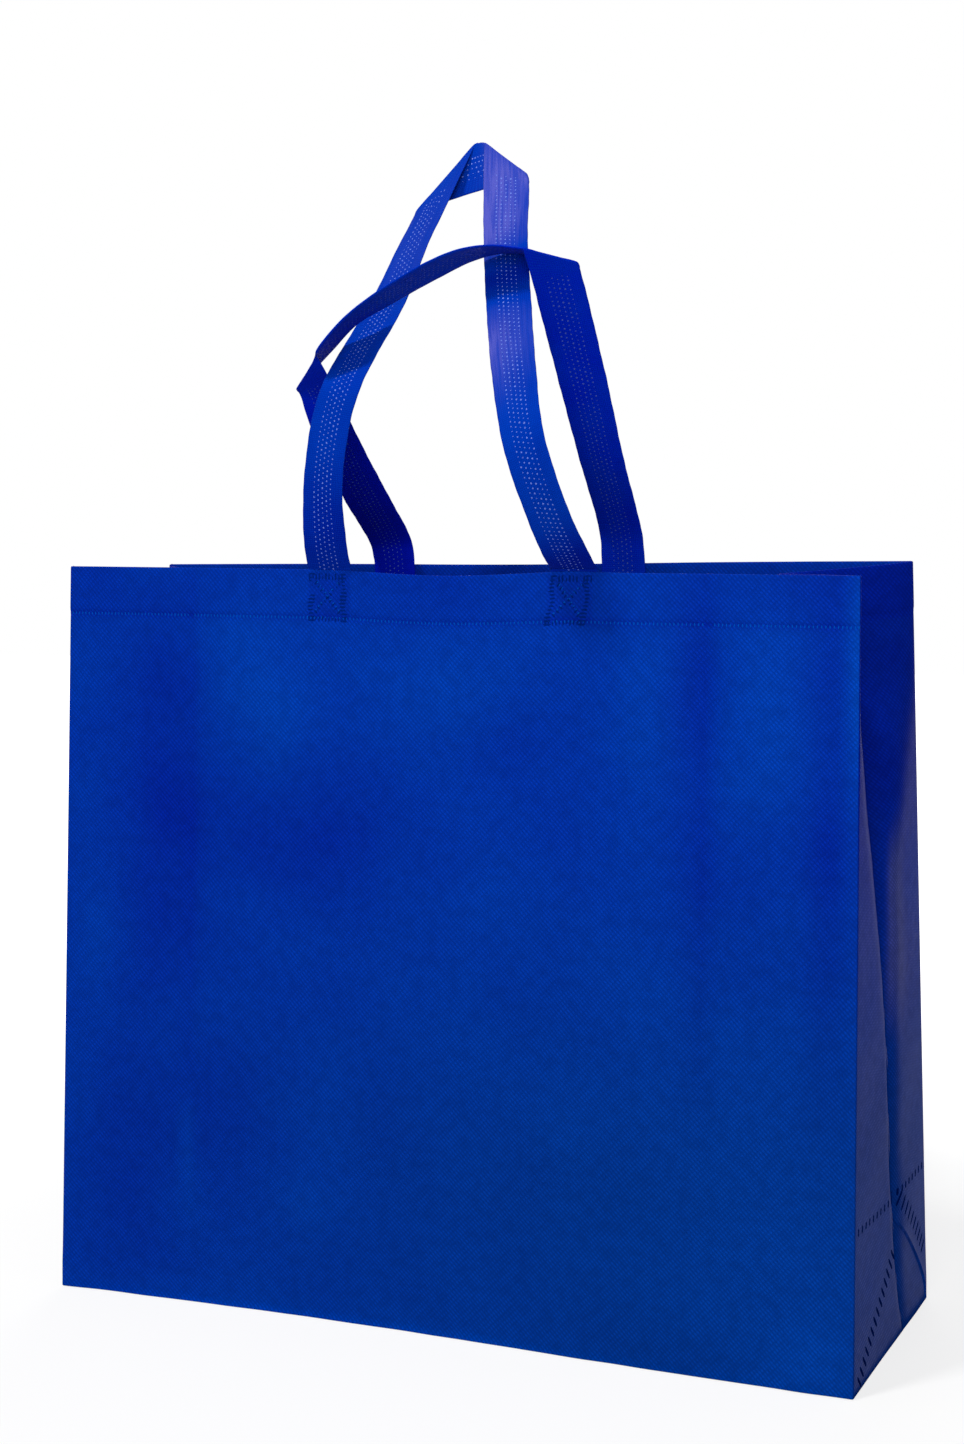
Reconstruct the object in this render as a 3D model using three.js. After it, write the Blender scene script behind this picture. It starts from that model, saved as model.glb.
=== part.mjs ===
import * as THREE from "three";

// Carrier bag of non-woven cloth, folded from one sheet, with two welded strap handles.
// Millimetres, Z up. The base stands on Z = 0 and is centred on X and Y; the front faces -Y.

// Body sizes
const BASE_WIDTH = 450;
const BASE_DEPTH = 155;
const MOUTH_TUCK = 8;
const MOUTH_DEPTH = 106;
const PANEL_HEIGHT = 398;
const CLOTH = 0.6;
const HEM = 28;
const VALLEY_DIP = 3;

// Strap sizes
const STRAP_WIDTH = 25;
const STRAP_THICKNESS = 1.2;
const STRAP_TAIL = 26;
const HANDLE_SPACING = 137;
const HANDLE_RISE = 221;
const HANDLE_STAGGER = 5.5;
const PIECE_GAP = 0.3;

// Layers of cloth in each place
const SINGLE = 1;
const HEM_LAYERS = 2;
const CORNER_LAYERS = 3;

// Each half of a side gusset is as wide as half the base is deep, at every height.
const GUSSET_HALF = BASE_DEPTH / 2;
const FLAP_HEIGHT = BASE_DEPTH / 2;
const PANEL_LEAN = (BASE_DEPTH - MOUTH_DEPTH) / 2;
const MOUTH_WIDTH = BASE_WIDTH - MOUTH_TUCK;
const RIM = Math.sqrt(PANEL_HEIGHT ** 2 - PANEL_LEAN ** 2);

// How sharply a gusset turns in to its valley: a plain V at the mouth, a bulge with a narrow
// groove below. Each row is a share of the rim's height, then the power of the curve.
const GUSSET_CURVE = [
  [0.0, 8],
  [0.6, 8],
  [0.85, 1.9],
  [1.0, 1.3],
];

// Fineness of the mesh
const PANEL_CELLS = 6;
const WING_CELLS = 3;
const FLAP_CELLS = 3;
const STRAP_STEPS = 3;
const ARC_SAMPLES = 48;
const EDGE = 0.5;
const RISER = 1;
const CORNER_START = 2;
const RELAXED_WING = 0.6;
const WING_RELAX = 4;
const FLAP_ROWS = [0.25, 0.5, 0.75];
const WALL_ROWS = [0.06, 0.18, 0.32, 0.48, 0.62, 0.76, 0.9];
const FOLD_MITRE = 2;

const BODY_COLOUR = 0x0a2ba2;
const STRAP_COLOUR = 0x1538b4;
const BODY_ROUGHNESS = 0.8;
const STRAP_ROUGHNESS = 0.72;

const mix = THREE.MathUtils.lerp;
const clamp = THREE.MathUtils.clamp;

function halfDepth(z) {
  return mix(BASE_DEPTH, MOUTH_DEPTH, z / RIM) / 2;
}

function halfWidth(z) {
  return mix(BASE_WIDTH, MOUTH_WIDTH, z / RIM) / 2;
}

function alongTable(table, share) {
  const last = table.length - 1;
  let k = 0;
  while (k < last - 1 && share > table[k + 1][0]) {
    k += 1;
  }
  const [from, a] = table[k];
  const [to, b] = table[k + 1];
  return mix(a, b, clamp((share - from) / (to - from), 0, 1));
}

// Length of half a gusset across, from its corner to a valley of the given depth.
function curveLength(depth, valley, power) {
  let length = 0;
  for (let i = 0; i < ARC_SAMPLES; i += 1) {
    const a = i / ARC_SAMPLES;
    const b = (i + 1) / ARC_SAMPLES;
    length += Math.hypot(depth * (b - a), valley * (b ** power - a ** power));
  }
  return length;
}

// Depth of the valley that uses up the whole width of the cloth.
function valleyDepth(depth, power) {
  let low = 0;
  let high = GUSSET_HALF;
  for (let i = 0; i < ARC_SAMPLES; i += 1) {
    const middle = (low + high) / 2;
    if (curveLength(depth, middle, power) < GUSSET_HALF) {
      low = middle;
    } else {
      high = middle;
    }
  }
  return low;
}

// Heights of the rows of the sheet. A pair of rows EDGE apart makes each step in thickness.
function rowHeights() {
  const hemEdge = RIM - HEM;
  const flap = FLAP_ROWS.map((share) => share * FLAP_HEIGHT);
  const wall = WALL_ROWS.map((share) => mix(FLAP_HEIGHT, hemEdge, share));
  return [
    0,
    CORNER_START,
    ...flap,
    FLAP_HEIGHT - CORNER_START,
    FLAP_HEIGHT - EDGE,
    FLAP_HEIGHT,
    ...wall,
    hemEdge - EDGE,
    hemEdge,
    RIM - HEM / 2,
    RIM,
  ];
}

// Share of half a gusset, from the corner, that the folded wing covers at a height.
function wingShare(z) {
  if (z <= FLAP_HEIGHT) {
    return clamp(z, CORNER_START, FLAP_HEIGHT - CORNER_START) / FLAP_HEIGHT;
  }
  const above = (z - FLAP_HEIGHT) / (RIM - FLAP_HEIGHT);
  const full = 1 - CORNER_START / FLAP_HEIGHT;
  return Math.max(RELAXED_WING, full - above * WING_RELAX);
}

// Places across half a gusset at a height: wing, riser, flap, valley.
function halfStations(z) {
  const wing = wingShare(z);
  const under = Math.min(wing + RISER / GUSSET_HALF, 1 - RISER / GUSSET_HALF / 2);
  const sunk = z < FLAP_HEIGHT ? (CORNER_LAYERS - SINGLE) * CLOTH : 0;
  const list = [];
  for (let i = 1; i <= WING_CELLS; i += 1) {
    list.push({ s: (wing * i) / WING_CELLS, sunk: 0 });
  }
  for (let i = 0; i < FLAP_CELLS; i += 1) {
    list.push({ s: mix(under, 1, i / FLAP_CELLS), sunk });
  }
  return list.concat({ s: 1, sunk });
}

function gussetLayers(z) {
  if (z < FLAP_HEIGHT) {
    return CORNER_LAYERS;
  }
  return z > RIM - HEM - EDGE ? HEM_LAYERS : SINGLE;
}

function panelLayers(z) {
  return z > RIM - HEM - EDGE ? HEM_LAYERS : SINGLE;
}

// Right-hand gusset at a height, from its front corner to its back corner, both left out.
// Each place has an outer and an inner point; the cloth's thickness is set off square to it.
function gusset(z) {
  const depth = halfDepth(z);
  const power = alongTable(GUSSET_CURVE, z / RIM);
  const valley = valleyDepth(depth, power);
  const half = halfStations(z);
  const back = half.slice(0, -1).reverse();
  const line = [
    { s: 0, side: -1, sunk: 0 },
    ...half.map((p) => ({ ...p, side: -1 })),
    ...back.map((p) => ({ ...p, side: 1 })),
    { s: 0, side: 1, sunk: 0 },
  ].map((p) => ({
    ...p,
    at: new THREE.Vector2(halfWidth(z) - valley * p.s ** power, p.side * depth * (1 - p.s)),
  }));
  const thick = gussetLayers(z) * CLOTH;
  return line.slice(1, -1).map((p, i) => {
    const before = p.at.clone().sub(line[i].at).normalize();
    const after = line[i + 2].at.clone().sub(p.at).normalize();
    const out = new THREE.Vector2(before.y + after.y, -before.x - after.x);
    const inward = out.clone().multiplyScalar(-2 / out.lengthSq());
    const height = z - VALLEY_DIP * p.s * (z / RIM) ** 2;
    const outer = p.at.clone().addScaledVector(inward, p.sunk);
    const inner = p.at.clone().addScaledVector(inward, thick);
    return {
      outer: new THREE.Vector3(outer.x, outer.y, height),
      inner: new THREE.Vector3(inner.x, inner.y, Math.max(height, CLOTH)),
    };
  });
}

// Front panel at a height, from its left corner to its right corner.
function panel(z) {
  const wide = halfWidth(z);
  const deep = halfDepth(z);
  const wideIn = wide - gussetLayers(z) * CLOTH;
  const deepIn = deep - panelLayers(z) * CLOTH;
  const list = [];
  for (let i = 0; i <= PANEL_CELLS; i += 1) {
    const u = (2 * i) / PANEL_CELLS - 1;
    list.push({
      outer: new THREE.Vector3(u * wide, -deep, z),
      inner: new THREE.Vector3(u * wideIn, -deepIn, Math.max(z, CLOTH)),
    });
  }
  return list;
}

function turned(places) {
  const half = (p) => new THREE.Vector3(-p.x, -p.y, p.z);
  return places.map(({ outer, inner }) => ({ outer: half(outer), inner: half(inner) }));
}

// The whole way round at a height, anticlockwise from above.
function ring(z) {
  const front = panel(z);
  const right = gusset(z);
  return [...front, ...right, ...turned(front), ...turned(right)];
}

function solidFrom(points, faces) {
  const geometry = new THREE.BufferGeometry();
  geometry.setFromPoints(points);
  geometry.setIndex(faces.flat());
  geometry.computeVertexNormals();
  return geometry;
}

function body() {
  const rings = rowHeights().map(ring);
  const count = rings[0].length;
  const top = rings.length - 1;
  const outer = rings.flatMap((r) => r.map((p) => p.outer));
  const inner = rings.flatMap((r) => r.map((p) => p.inner));
  const shift = outer.length;
  const faces = [];
  const quad = (a, b, c, d) => {
    faces.push([a, b, c], [a, c, d]);
  };
  for (let j = 0; j < top; j += 1) {
    for (let i = 0; i < count; i += 1) {
      const next = (i + 1) % count;
      const a = j * count + i;
      const b = j * count + next;
      quad(a, b, b + count, a + count);
      quad(shift + b, shift + a, shift + a + count, shift + b + count);
    }
  }
  for (let i = 0; i < count; i += 1) {
    const a = top * count + i;
    const b = top * count + ((i + 1) % count);
    quad(a, b, shift + b, shift + a);
  }
  const flat = (list) => list.map((p) => new THREE.Vector2(p.x, p.y));
  const under = THREE.ShapeUtils.triangulateShape(flat(outer.slice(0, count)), []);
  const floor = THREE.ShapeUtils.triangulateShape(flat(inner.slice(0, count)), []);
  under.forEach(([a, b, c]) => faces.push([a, c, b]));
  floor.forEach(([a, b, c]) => faces.push([shift + a, shift + b, shift + c]));
  return solidFrom([...outer, ...inner], faces);
}

// The way each strap stands, from the rim on its left up and over to the rim on its right.
// Each row is a place on the centre line: across (100 = half the spacing of the legs), in depth
// (100 = half the depth of the mouth) and in height (100 = the rise of the front handle). Then
// come the turn and the tilt, in degrees, of the line across the strap from its left edge to
// its right edge, and the length of that line against the strap's width; it is over 1 where the
// strap is folded slantwise. A row that ends in FOLD is such a fold.
const PERCENT = 100;
const FOLD = true;
const FRONT_WAY = [
  [-97, -111, 6, 0, -3, 1],
  [-93, -124, 20, -10, -7, 1],
  [-83, -128, 35.5, -12, -9, 1],
  [-75, -125, 43, -14, -9, 1],
  [-73, -96, 50, -16, -7, 1],
  [-64, -48, 63, -19, -5, 1],
  [-51, -24, 76.5, -27, -2, 1],
  [-43, -13, 83, -29, -2, 1],
  [-34, 7, 92.5, 10, 46, 1.9, FOLD],
  [17, 6, 96, 165, 34, 1.38, FOLD],
  [22, -10, 88.5, 190, -12, 1],
  [34, -50, 74, 182, -16, 1],
  [49, -90, 59.5, 182, -17, 1],
  [67, -135, 44.5, 177, -18, 1],
  [84, -165, 28.5, 168, -22, 1],
  [98, -152, 12.5, 164, -22, 1],
  [101, -128, 5.5, 168, -16, 1],
];
const BACK_WAY = [
  [-101, 78, 5.5, 7, 7, 1],
  [-99, 32, 16, 9, 7, 1],
  [-98, -16, 25.5, 7, 5, 1],
  [-98, -54, 35, 0, -2, 1],
  [-101, -67, 41, -5, -7, 1],
  [-101, -94, 46.2, -43, 23, 1.53, FOLD],
  [-78, -112, 51.3, -83, -4, 1],
  [-57, -116, 57, -86, -2, 1],
  [-35, -114, 61.2, -88, 2, 1],
  [12, -108, 68.5, -90, 4, 1],
  [36, -103, 71.5, -88, 4, 1],
  [60, -100, 72.5, -90, 4, 1],
  [101, -99, 70.5, -129, 11, 1.3, FOLD],
  [100, -79, 65.5, -154, -19, 1],
  [100, -56, 58, -159, -14, 1],
  [99, -31, 50, -168, -9, 1],
  [99, -8, 42, -171, -7, 1],
  [99, 38, 25.5, -180, 0, 1],
  [100, 80, 9, -185, 2, 1],
];

// Ends of the line across a strap at a place on it.
function across(centre, turn, tilt, stretch) {
  const t = THREE.MathUtils.degToRad(turn);
  const p = THREE.MathUtils.degToRad(tilt);
  const way = new THREE.Vector3(
    Math.cos(p) * Math.cos(t),
    Math.cos(p) * Math.sin(t),
    Math.sin(p),
  );
  const reach = (STRAP_WIDTH * stretch) / 2;
  return {
    left: centre.clone().addScaledVector(way, -reach),
    right: centre.clone().addScaledVector(way, reach),
  };
}

// The straight end of a strap, flat on the inside of a panel, from its tail to just above the
// rim. `side` is -1 on the front panel and 1 on the back one; `leg` is -1 or 1 across.
function weldedEnd(side, leg, middle) {
  const turn = leg < 0 ? 0 : 180;
  const inset = HEM_LAYERS * CLOTH + PIECE_GAP + STRAP_THICKNESS / 2;
  return [RIM - STRAP_TAIL, RIM + STRAP_THICKNESS].map((z) => {
    const x = middle + (leg * HANDLE_SPACING) / 2;
    const centre = new THREE.Vector3(x, side * (halfDepth(z) - inset), z);
    return { ...across(centre, turn, 0, 1), ends: z > RIM };
  });
}

// Rows of a whole strap, with a smooth run filled in between each two of its folds.
function strapRows(way, side, middle) {
  const free = way.map(([x, y, h, turn, tilt, stretch, fold]) => {
    const centre = new THREE.Vector3(
      middle + (x / PERCENT) * (HANDLE_SPACING / 2),
      (y / PERCENT) * (MOUTH_DEPTH / 2),
      RIM + (h / PERCENT) * HANDLE_RISE,
    );
    return { ...across(centre, turn, tilt, stretch), ends: fold === FOLD };
  });
  const start = weldedEnd(side, -1, middle);
  const end = weldedEnd(side, 1, middle).reverse();
  const all = [...start, ...free, ...end];
  const rows = [];
  let run = [];
  const fill = () => {
    const left = new THREE.CatmullRomCurve3(run.map((r) => r.left));
    const right = new THREE.CatmullRomCurve3(run.map((r) => r.right));
    const steps = run.length > 2 ? (run.length - 1) * STRAP_STEPS : 1;
    for (let i = rows.length > 0 ? 1 : 0; i <= steps; i += 1) {
      rows.push({ left: left.getPoint(i / steps), right: right.getPoint(i / steps) });
    }
  };
  all.forEach((row, k) => {
    run.push(row);
    if (k > 0 && (row.ends || k === all.length - 1)) {
      fill();
      run = [row];
    }
  });
  return rows;
}

function strap(rows) {
  const last = rows.length - 1;
  const normals = [];
  for (let k = 0; k < last; k += 1) {
    const a = rows[k];
    const b = rows[k + 1];
    const over = a.right.clone().add(b.right).sub(a.left).sub(b.left);
    const along = b.left.clone().add(b.right).sub(a.left).sub(a.right);
    normals.push(over.cross(along).normalize());
  }
  const points = [];
  rows.forEach((row, k) => {
    const sum = normals[Math.max(k - 1, 0)].clone().add(normals[Math.min(k, last - 1)]);
    const mitre = Math.min(2 / sum.length(), FOLD_MITRE);
    const set = sum.setLength((mitre * STRAP_THICKNESS) / 2);
    points.push(row.left.clone().add(set), row.right.clone().add(set));
    points.push(row.right.clone().sub(set), row.left.clone().sub(set));
  });
  const faces = [];
  const sides = 4;
  for (let k = 0; k < last; k += 1) {
    for (let i = 0; i < sides; i += 1) {
      const a = k * sides + i;
      const b = k * sides + ((i + 1) % sides);
      faces.push([a, b, b + sides], [a, b + sides, a + sides]);
    }
  }
  const end = last * sides;
  faces.push([0, 2, 1], [0, 3, 2]);
  faces.push([end, end + 1, end + 2], [end, end + 2, end + 3]);
  return solidFrom(points, faces);
}

function piece(name, geometry, color, roughness) {
  const material = new THREE.MeshStandardMaterial({ color, roughness, metalness: 0 });
  const mesh = new THREE.Mesh(geometry, material);
  mesh.name = name;
  return mesh;
}

const bag = new THREE.Group();
bag.add(piece("bag_body", body(), BODY_COLOUR, BODY_ROUGHNESS));
bag.add(
  piece(
    "front_handle",
    strap(strapRows(FRONT_WAY, -1, HANDLE_STAGGER)),
    STRAP_COLOUR,
    STRAP_ROUGHNESS,
  ),
);
bag.add(
  piece(
    "back_handle",
    strap(strapRows(BACK_WAY, 1, -HANDLE_STAGGER)),
    STRAP_COLOUR,
    STRAP_ROUGHNESS,
  ),
);

export default bag;
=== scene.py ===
import math

import bpy
import numpy as np
from bpy.props import FloatProperty, FloatVectorProperty, PointerProperty
from mathutils import Matrix, Vector


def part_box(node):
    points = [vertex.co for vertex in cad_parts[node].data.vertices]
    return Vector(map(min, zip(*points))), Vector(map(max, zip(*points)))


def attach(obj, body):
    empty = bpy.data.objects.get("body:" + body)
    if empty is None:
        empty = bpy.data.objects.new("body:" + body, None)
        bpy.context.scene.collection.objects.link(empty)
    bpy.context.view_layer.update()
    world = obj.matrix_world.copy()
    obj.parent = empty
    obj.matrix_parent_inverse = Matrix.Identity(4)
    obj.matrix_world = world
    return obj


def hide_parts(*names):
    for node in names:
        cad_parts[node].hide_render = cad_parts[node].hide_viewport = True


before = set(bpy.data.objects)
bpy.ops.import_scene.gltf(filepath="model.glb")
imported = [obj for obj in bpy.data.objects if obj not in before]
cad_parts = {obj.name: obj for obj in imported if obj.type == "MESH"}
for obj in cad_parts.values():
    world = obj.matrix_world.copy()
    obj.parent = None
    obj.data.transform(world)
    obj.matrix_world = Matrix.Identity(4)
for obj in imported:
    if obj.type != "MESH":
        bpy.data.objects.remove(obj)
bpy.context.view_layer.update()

bl_info = {
    "name": "Non-woven carrier bag",
    "version": (1, 0, 0),
    "blender": (4, 5, 0),
    "location": "3D View > Sidebar > Bag",
    "description": "Carrier bag folded from one sheet of non-woven cloth, with two welded straps",
    "category": "Add Mesh",
}

# Metres, Z up. The base stands on Z = 0 and the front faces -Y, as in the frame.
MM = 0.001
BODY_LOW, BODY_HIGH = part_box("bag_body")
WHOLE_TURN = 2 * math.pi
TINY = 1e-9

# How sharply a gusset turns in to its valley: share of the rim's height, power of the curve
# ahead of the valley, power behind it.
GUSSET_CURVE = (
    (0.0, 60.0, 14.0),
    (0.33, 60.0, 14.0),
    (0.45, 18.0, 16.0),
    (0.6, 6.0, 18.0),
    (0.7, 3.6, 7.0),
    (0.83, 1.6, 1.9),
    (1.0, 1.3, 1.3),
)
# Where the valley runs at the foot of a gusset, in millimetres: height, how far past the middle.
VALLEY_SHIFT = ((0, 27), (20, 18.5), (36, 13.5), (64, 7.5), (100, 1.5), (140, 0), (200, 0))
WING_POWER = 1.55

# Soft swellings of the panels, in millimetres: place across, height, reach across, reach up,
# how far the cloth stands out, and the painted light there: a painted highlight above 0,
# painted shade below 0.
FRONT_SWELLS = (
    # Rows that stand out 0 are painted light only; this one is a painted highlight along the front
    # panel's right edge.
    (223, 352, 4, 60, 0.0, 1.4),
    (196, 40, 30, 60, 0.3, 0.35),
    (-112, 350, 26, 34, 2.2, 0.65),
    (-90, 318, 20, 30, 1.2, 0.45),
    (-168, 315, 26, 62, -2.0, -0.5),
    (-156, 262, 18, 70, -0.8, -0.2),
    (-100, 256, 66, 38, -1.5, -0.5),
    (10, 343, 48, 34, 1.4, 0.4),
    (114, 336, 20, 40, 2.2, 0.6),
    (141, 345, 12, 46, -1.4, -0.4),
    (142, 230, 9, 100, -0.5, -0.3),
    (180, 332, 22, 36, 2.0, 0.5),
    (172, 292, 28, 26, 0.8, 0.35),
    (209, 250, 12, 125, -1.0, -0.55),
    (37, 306, 34, 28, -1.3, -0.35),
    (-205, 190, 14, 42, 0.6, 0.3),
    (-20, 120, 120, 70, 2.4, -0.1),
    (120, 110, 60, 75, 1.8, 0.1),
    (-186, 75, 34, 56, -1.0, -0.55),
    (-147, 88, 5, 28, 0.5, 0.6),
    (-75, 59, 26, 24, 1.2, 0.4),
    (-115, 105, 34, 42, -1.2, -0.35),
    (-160, 200, 45, 50, -0.6, -0.35),
    (55, 45, 60, 40, -1.2, -0.1),
    (120, 8, 75, 12, 0.0, -0.4),
    (205, 18, 20, 16, 0.6, 0.6),
)
BACK_SWELLS = (
    (-120, 300, 40, 80, 1.8, 0.6),
    (10, 310, 60, 60, -1.5, -0.5),
    (135, 270, 36, 90, 2.0, 0.6),
    (-40, 150, 110, 80, 2.2, 0.2),
    (150, 110, 55, 80, 1.4, 0.3),
    (-160, 120, 45, 70, -1.2, -0.5),
)
# Fine ripples: height in millimetres, wavelengths across and up, and where each starts.
RIPPLES = (
    (0.16, 63, 210, 0.4),
    (0.13, 41, -160, 2.1),
    (0.10, 120, 58, 4.0),
    (0.08, -29, 95, 1.2),
)
# Set-back of the bottom edge of each panel: place across, reach, depth.
FRONT_BOW = (-60, 135, 7.5)
BACK_BOW = (40, 150, 4.0)
BOW_HEIGHT = 75
# Rise of the rim at the corners front left, front right, back right and back left.
RIM_CORNERS = (1.5, -1.5, 1.5, -1.5)
# Rise or sag of the rim along each panel: place across, reach, rise.
FRONT_RIM = ((2, 48, -2.6), (-63, 17, 0.2), (74, 17, 0.8))
BACK_RIM = ((0, 90, -1.0),)
RIM_POWER = 4

# Smaller shapes of the cloth, in millimetres. A pair is where a soft step starts and where it ends.
# Lines that the folded gussets press into the panels: depth, reach across, heights.
IMPRINT = (0.7, 5, (20, 90))
# A level crease: height, reach, rise, places across.
CREASE = (226, 5, 0.35, (-60, 20))
EDGE_HOLD = (0, 25)
# Where a strap end is welded on: distances from the middle of its leg and below the rim.
PATCH_SIDE = (10.5, 13)
PATCH_START = (0.5, 3)
PATCH_STOP = (24, 27.5)
PATCH_DEPTH = 0.3
# Puckers of that weld: depth, and radians per millimetre across and down of two crossing waves.
PUCKER_DEPTH = 0.2
PUCKER_WAVES = ((1.15, 0.14), (0.21, 0.32))
# The hem: heights over its edge of its weld and of the foot of its band, step of the band, and
# depth and reach of the groove along the weld.
HEM_WELD_RISE = 3
HEM_BAND_EDGE = 1
HEM_STEP = 0.25
HEM_GROOVE = (0.35, 1.2)
# The base: lift, then waves with their height and the distances of one radian across and in depth.
BASE_LIFT = 0.6
BASE_WAVES = ((0.5, 37, 29), (0.4, 61, -23))

# Tones of the cloth besides its swellings: strength, then reach or heights in millimetres. A gusset
# has a second strength, which is added at those heights.
PATCH_TONE = 0.35
# Painted shade along the lines that the folded gussets press into the panels.
IMPRINT_SHADE = (0.3, 3, (40, 160))
# Painted light: the panels are lighter just above the floor, where shade would fall.
FOOT_LIGHT = (0.25, 14)
# Painted shade: the gussets are darker than the panels, and darker still high up, in the shade of the
# valley.
GUSSET_SHADE = (-0.5, -0.4, (230, 300))
HEM_TONE = (0.2, 6)
WELD_TONE = (0.5, 1.6)
# Painted sheen on a gusset, a pale veil that stands in for grazing gloss behind its valley: its
# top at the corner, fall to the valley and soft edge, heights where it starts, and shares of the
# gusset's part where it starts and stops.
PAINTED_SHEEN_TOP = (305, 80, 14)
PAINTED_SHEEN_HEIGHTS = (150, 200)
PAINTED_SHEEN_START = (0.3, 0.6)
PAINTED_SHEEN_STOP = (0.85, 0.96)

# The way each strap stands, from the rim on its left up and over to the rim on its right.
# Each row is a place on the centre line: across (100 = half the spacing of the legs), in depth
# (100 = half the depth of the mouth) and in height (100 = the rise of the front handle). Then
# come the turn and the tilt, in degrees, of the line across the strap from its left edge to its
# right edge, and the length of that line against the strap's width; it is over 1 where the
# strap is folded slantwise. A row that ends in FOLD is such a fold.
PERCENT = 100
FOLD = True
FRONT_WAY = (
    (-97, -111, 6, 0, -3, 1),
    (-93, -124, 20, -10, -7, 1),
    (-83, -128, 35.5, -12, -9, 1),
    (-75, -125, 43, -14, -9, 1),
    (-73, -96, 50, -16, -7, 1),
    (-64, -48, 63, -19, -5, 1),
    (-51, -24, 76.5, -27, -2, 1),
    (-43, -13, 83, -29, -2, 1),
    (-34, 7, 92.5, 10, 46, 1.9, FOLD),
    (17, 6, 96, 165, 34, 1.38, FOLD),
    (22, -10, 88.5, 190, -12, 1),
    (34, -50, 74, 182, -16, 1),
    (49, -90, 59.5, 182, -17, 1),
    (67, -135, 44.5, 177, -18, 1),
    (84, -165, 28.5, 168, -22, 1),
    (98, -152, 12.5, 164, -22, 1),
    (101, -128, 5.5, 168, -16, 1),
)
BACK_WAY = (
    (-101, 92, 4.8, 4, 4, 1),
    (-99, 32, 16, 9, 7, 1),
    (-98, -16, 25.5, 7, 5, 1),
    (-98, -54, 35, 0, -2, 1),
    (-101, -67, 41, -5, -7, 1),
    (-101, -94, 46.2, -43, 23, 1.53, FOLD),
    (-79, -109, 51.3, -83, -4, 1),
    (-59, -110, 57.1, -86, -2, 1),
    (-38.5, -104.5, 61.4, -88, 5, 1),
    (6.5, -93, 68.9, -90, 9, 1),
    (29.5, -83, 72, -88, 7, 1),
    (53.5, -79, 73, -90, 4, 1),
    (95.5, -80, 70.9, -129, 11, 1.3, FOLD),
    (95.5, -64, 65.8, -154, -19, 1),
    (96.5, -45, 58.2, -159, -14, 1),
    (97, -23.5, 50.1, -168, -9, 1),
    (98, -4, 42, -171, -7, 1),
    (99, 38, 25.5, -180, 0, 1),
    (99.5, 92, 7, -183, 2, 1),
)


def length(name, text, default):
    """A size in metres that the panel shows."""
    return FloatProperty(
        name=name, description=text, default=default, min=0, precision=4, unit="LENGTH"
    )


def colour(name, text, default):
    """A colour that the panel shows."""
    return FloatVectorProperty(
        name=name, description=text, default=default, size=3, min=0, max=1, subtype="COLOR"
    )


def number(name, text, default):
    """A plain number that the panel shows."""
    return FloatProperty(name=name, description=text, default=default)


def degrees(name, text, default):
    """An angle, given in degrees, that the panel shows."""
    return FloatProperty(name=name, description=text, default=math.radians(default), subtype="ANGLE")


def position(name, text, default):
    """A place in the scene that the panel shows."""
    return FloatVectorProperty(name=name, description=text, default=default, subtype="TRANSLATION")


class BagSizes(bpy.types.PropertyGroup):
    """Sizes of the bag's body."""

    base_width: length("Base width", "Width of the base", BODY_HIGH.x - BODY_LOW.x)
    base_depth: length("Base depth", "Depth of the base", BODY_HIGH.y - BODY_LOW.y)
    rim_height: length("Rim height", "Height of the rim", BODY_HIGH.z - BODY_LOW.z)
    mouth_tuck: length("Mouth tuck", "How much narrower the mouth is than the base", 8 * MM)
    mouth_depth: length("Mouth depth", "Depth of the mouth between the panels", 106 * MM)
    valley_dip: length("Valley dip", "How far the rim dips at the gusset's valley", 3 * MM)
    cloth: length("Cloth", "Thickness of the cloth", 0.6 * MM)
    hem: length("Hem", "Width of the hem folded in at the rim", 28 * MM)
    hem_gap: length("Hem gap", "Air between the two layers of the hem", 0.2 * MM)
    fold_radius: length("Fold radius", "Roundness of the folded edges", 1.2 * MM)
    wing_height: length("Wing height", "Height of the corner wings over the floor", 66 * MM)
    wing_lift: length("Wing lift", "How far the corner wings stand off the base flap", 0.5 * MM)


class StrapSizes(bpy.types.PropertyGroup):
    """Sizes of the two straps and of their welds."""

    width: length("Strap width", "Width of a strap", 25 * MM)
    thickness: length("Strap thickness", "Thickness of a strap", 1.2 * MM)
    tail: length("Strap tail", "How far a strap reaches below the rim", 26 * MM)
    spacing: length("Handle spacing", "Distance between the legs of a handle", 137 * MM)
    rise: length("Handle rise", "Height of the front handle over the rim", 221 * MM)
    stagger: length("Handle stagger", "How far each handle is off the middle", 5.5 * MM)
    piece_gap: length("Piece gap", "Air between a strap and the hem", 0.3 * MM)
    fold_trim: length("Fold trim", "Length of strap that a rounded fold takes up", 1.0 * MM)
    dot_pitch: length("Dot pitch", "Distance between weld dots", 2.6 * MM)
    dot_size: length("Dot size", "Width of a weld dot", 1 * MM)
    patch: length("Weld patch", "Width of the weld that holds a strap", 23 * MM)
    patch_height: length("Weld patch height", "Height of the weld that holds a strap", 26 * MM)


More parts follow.
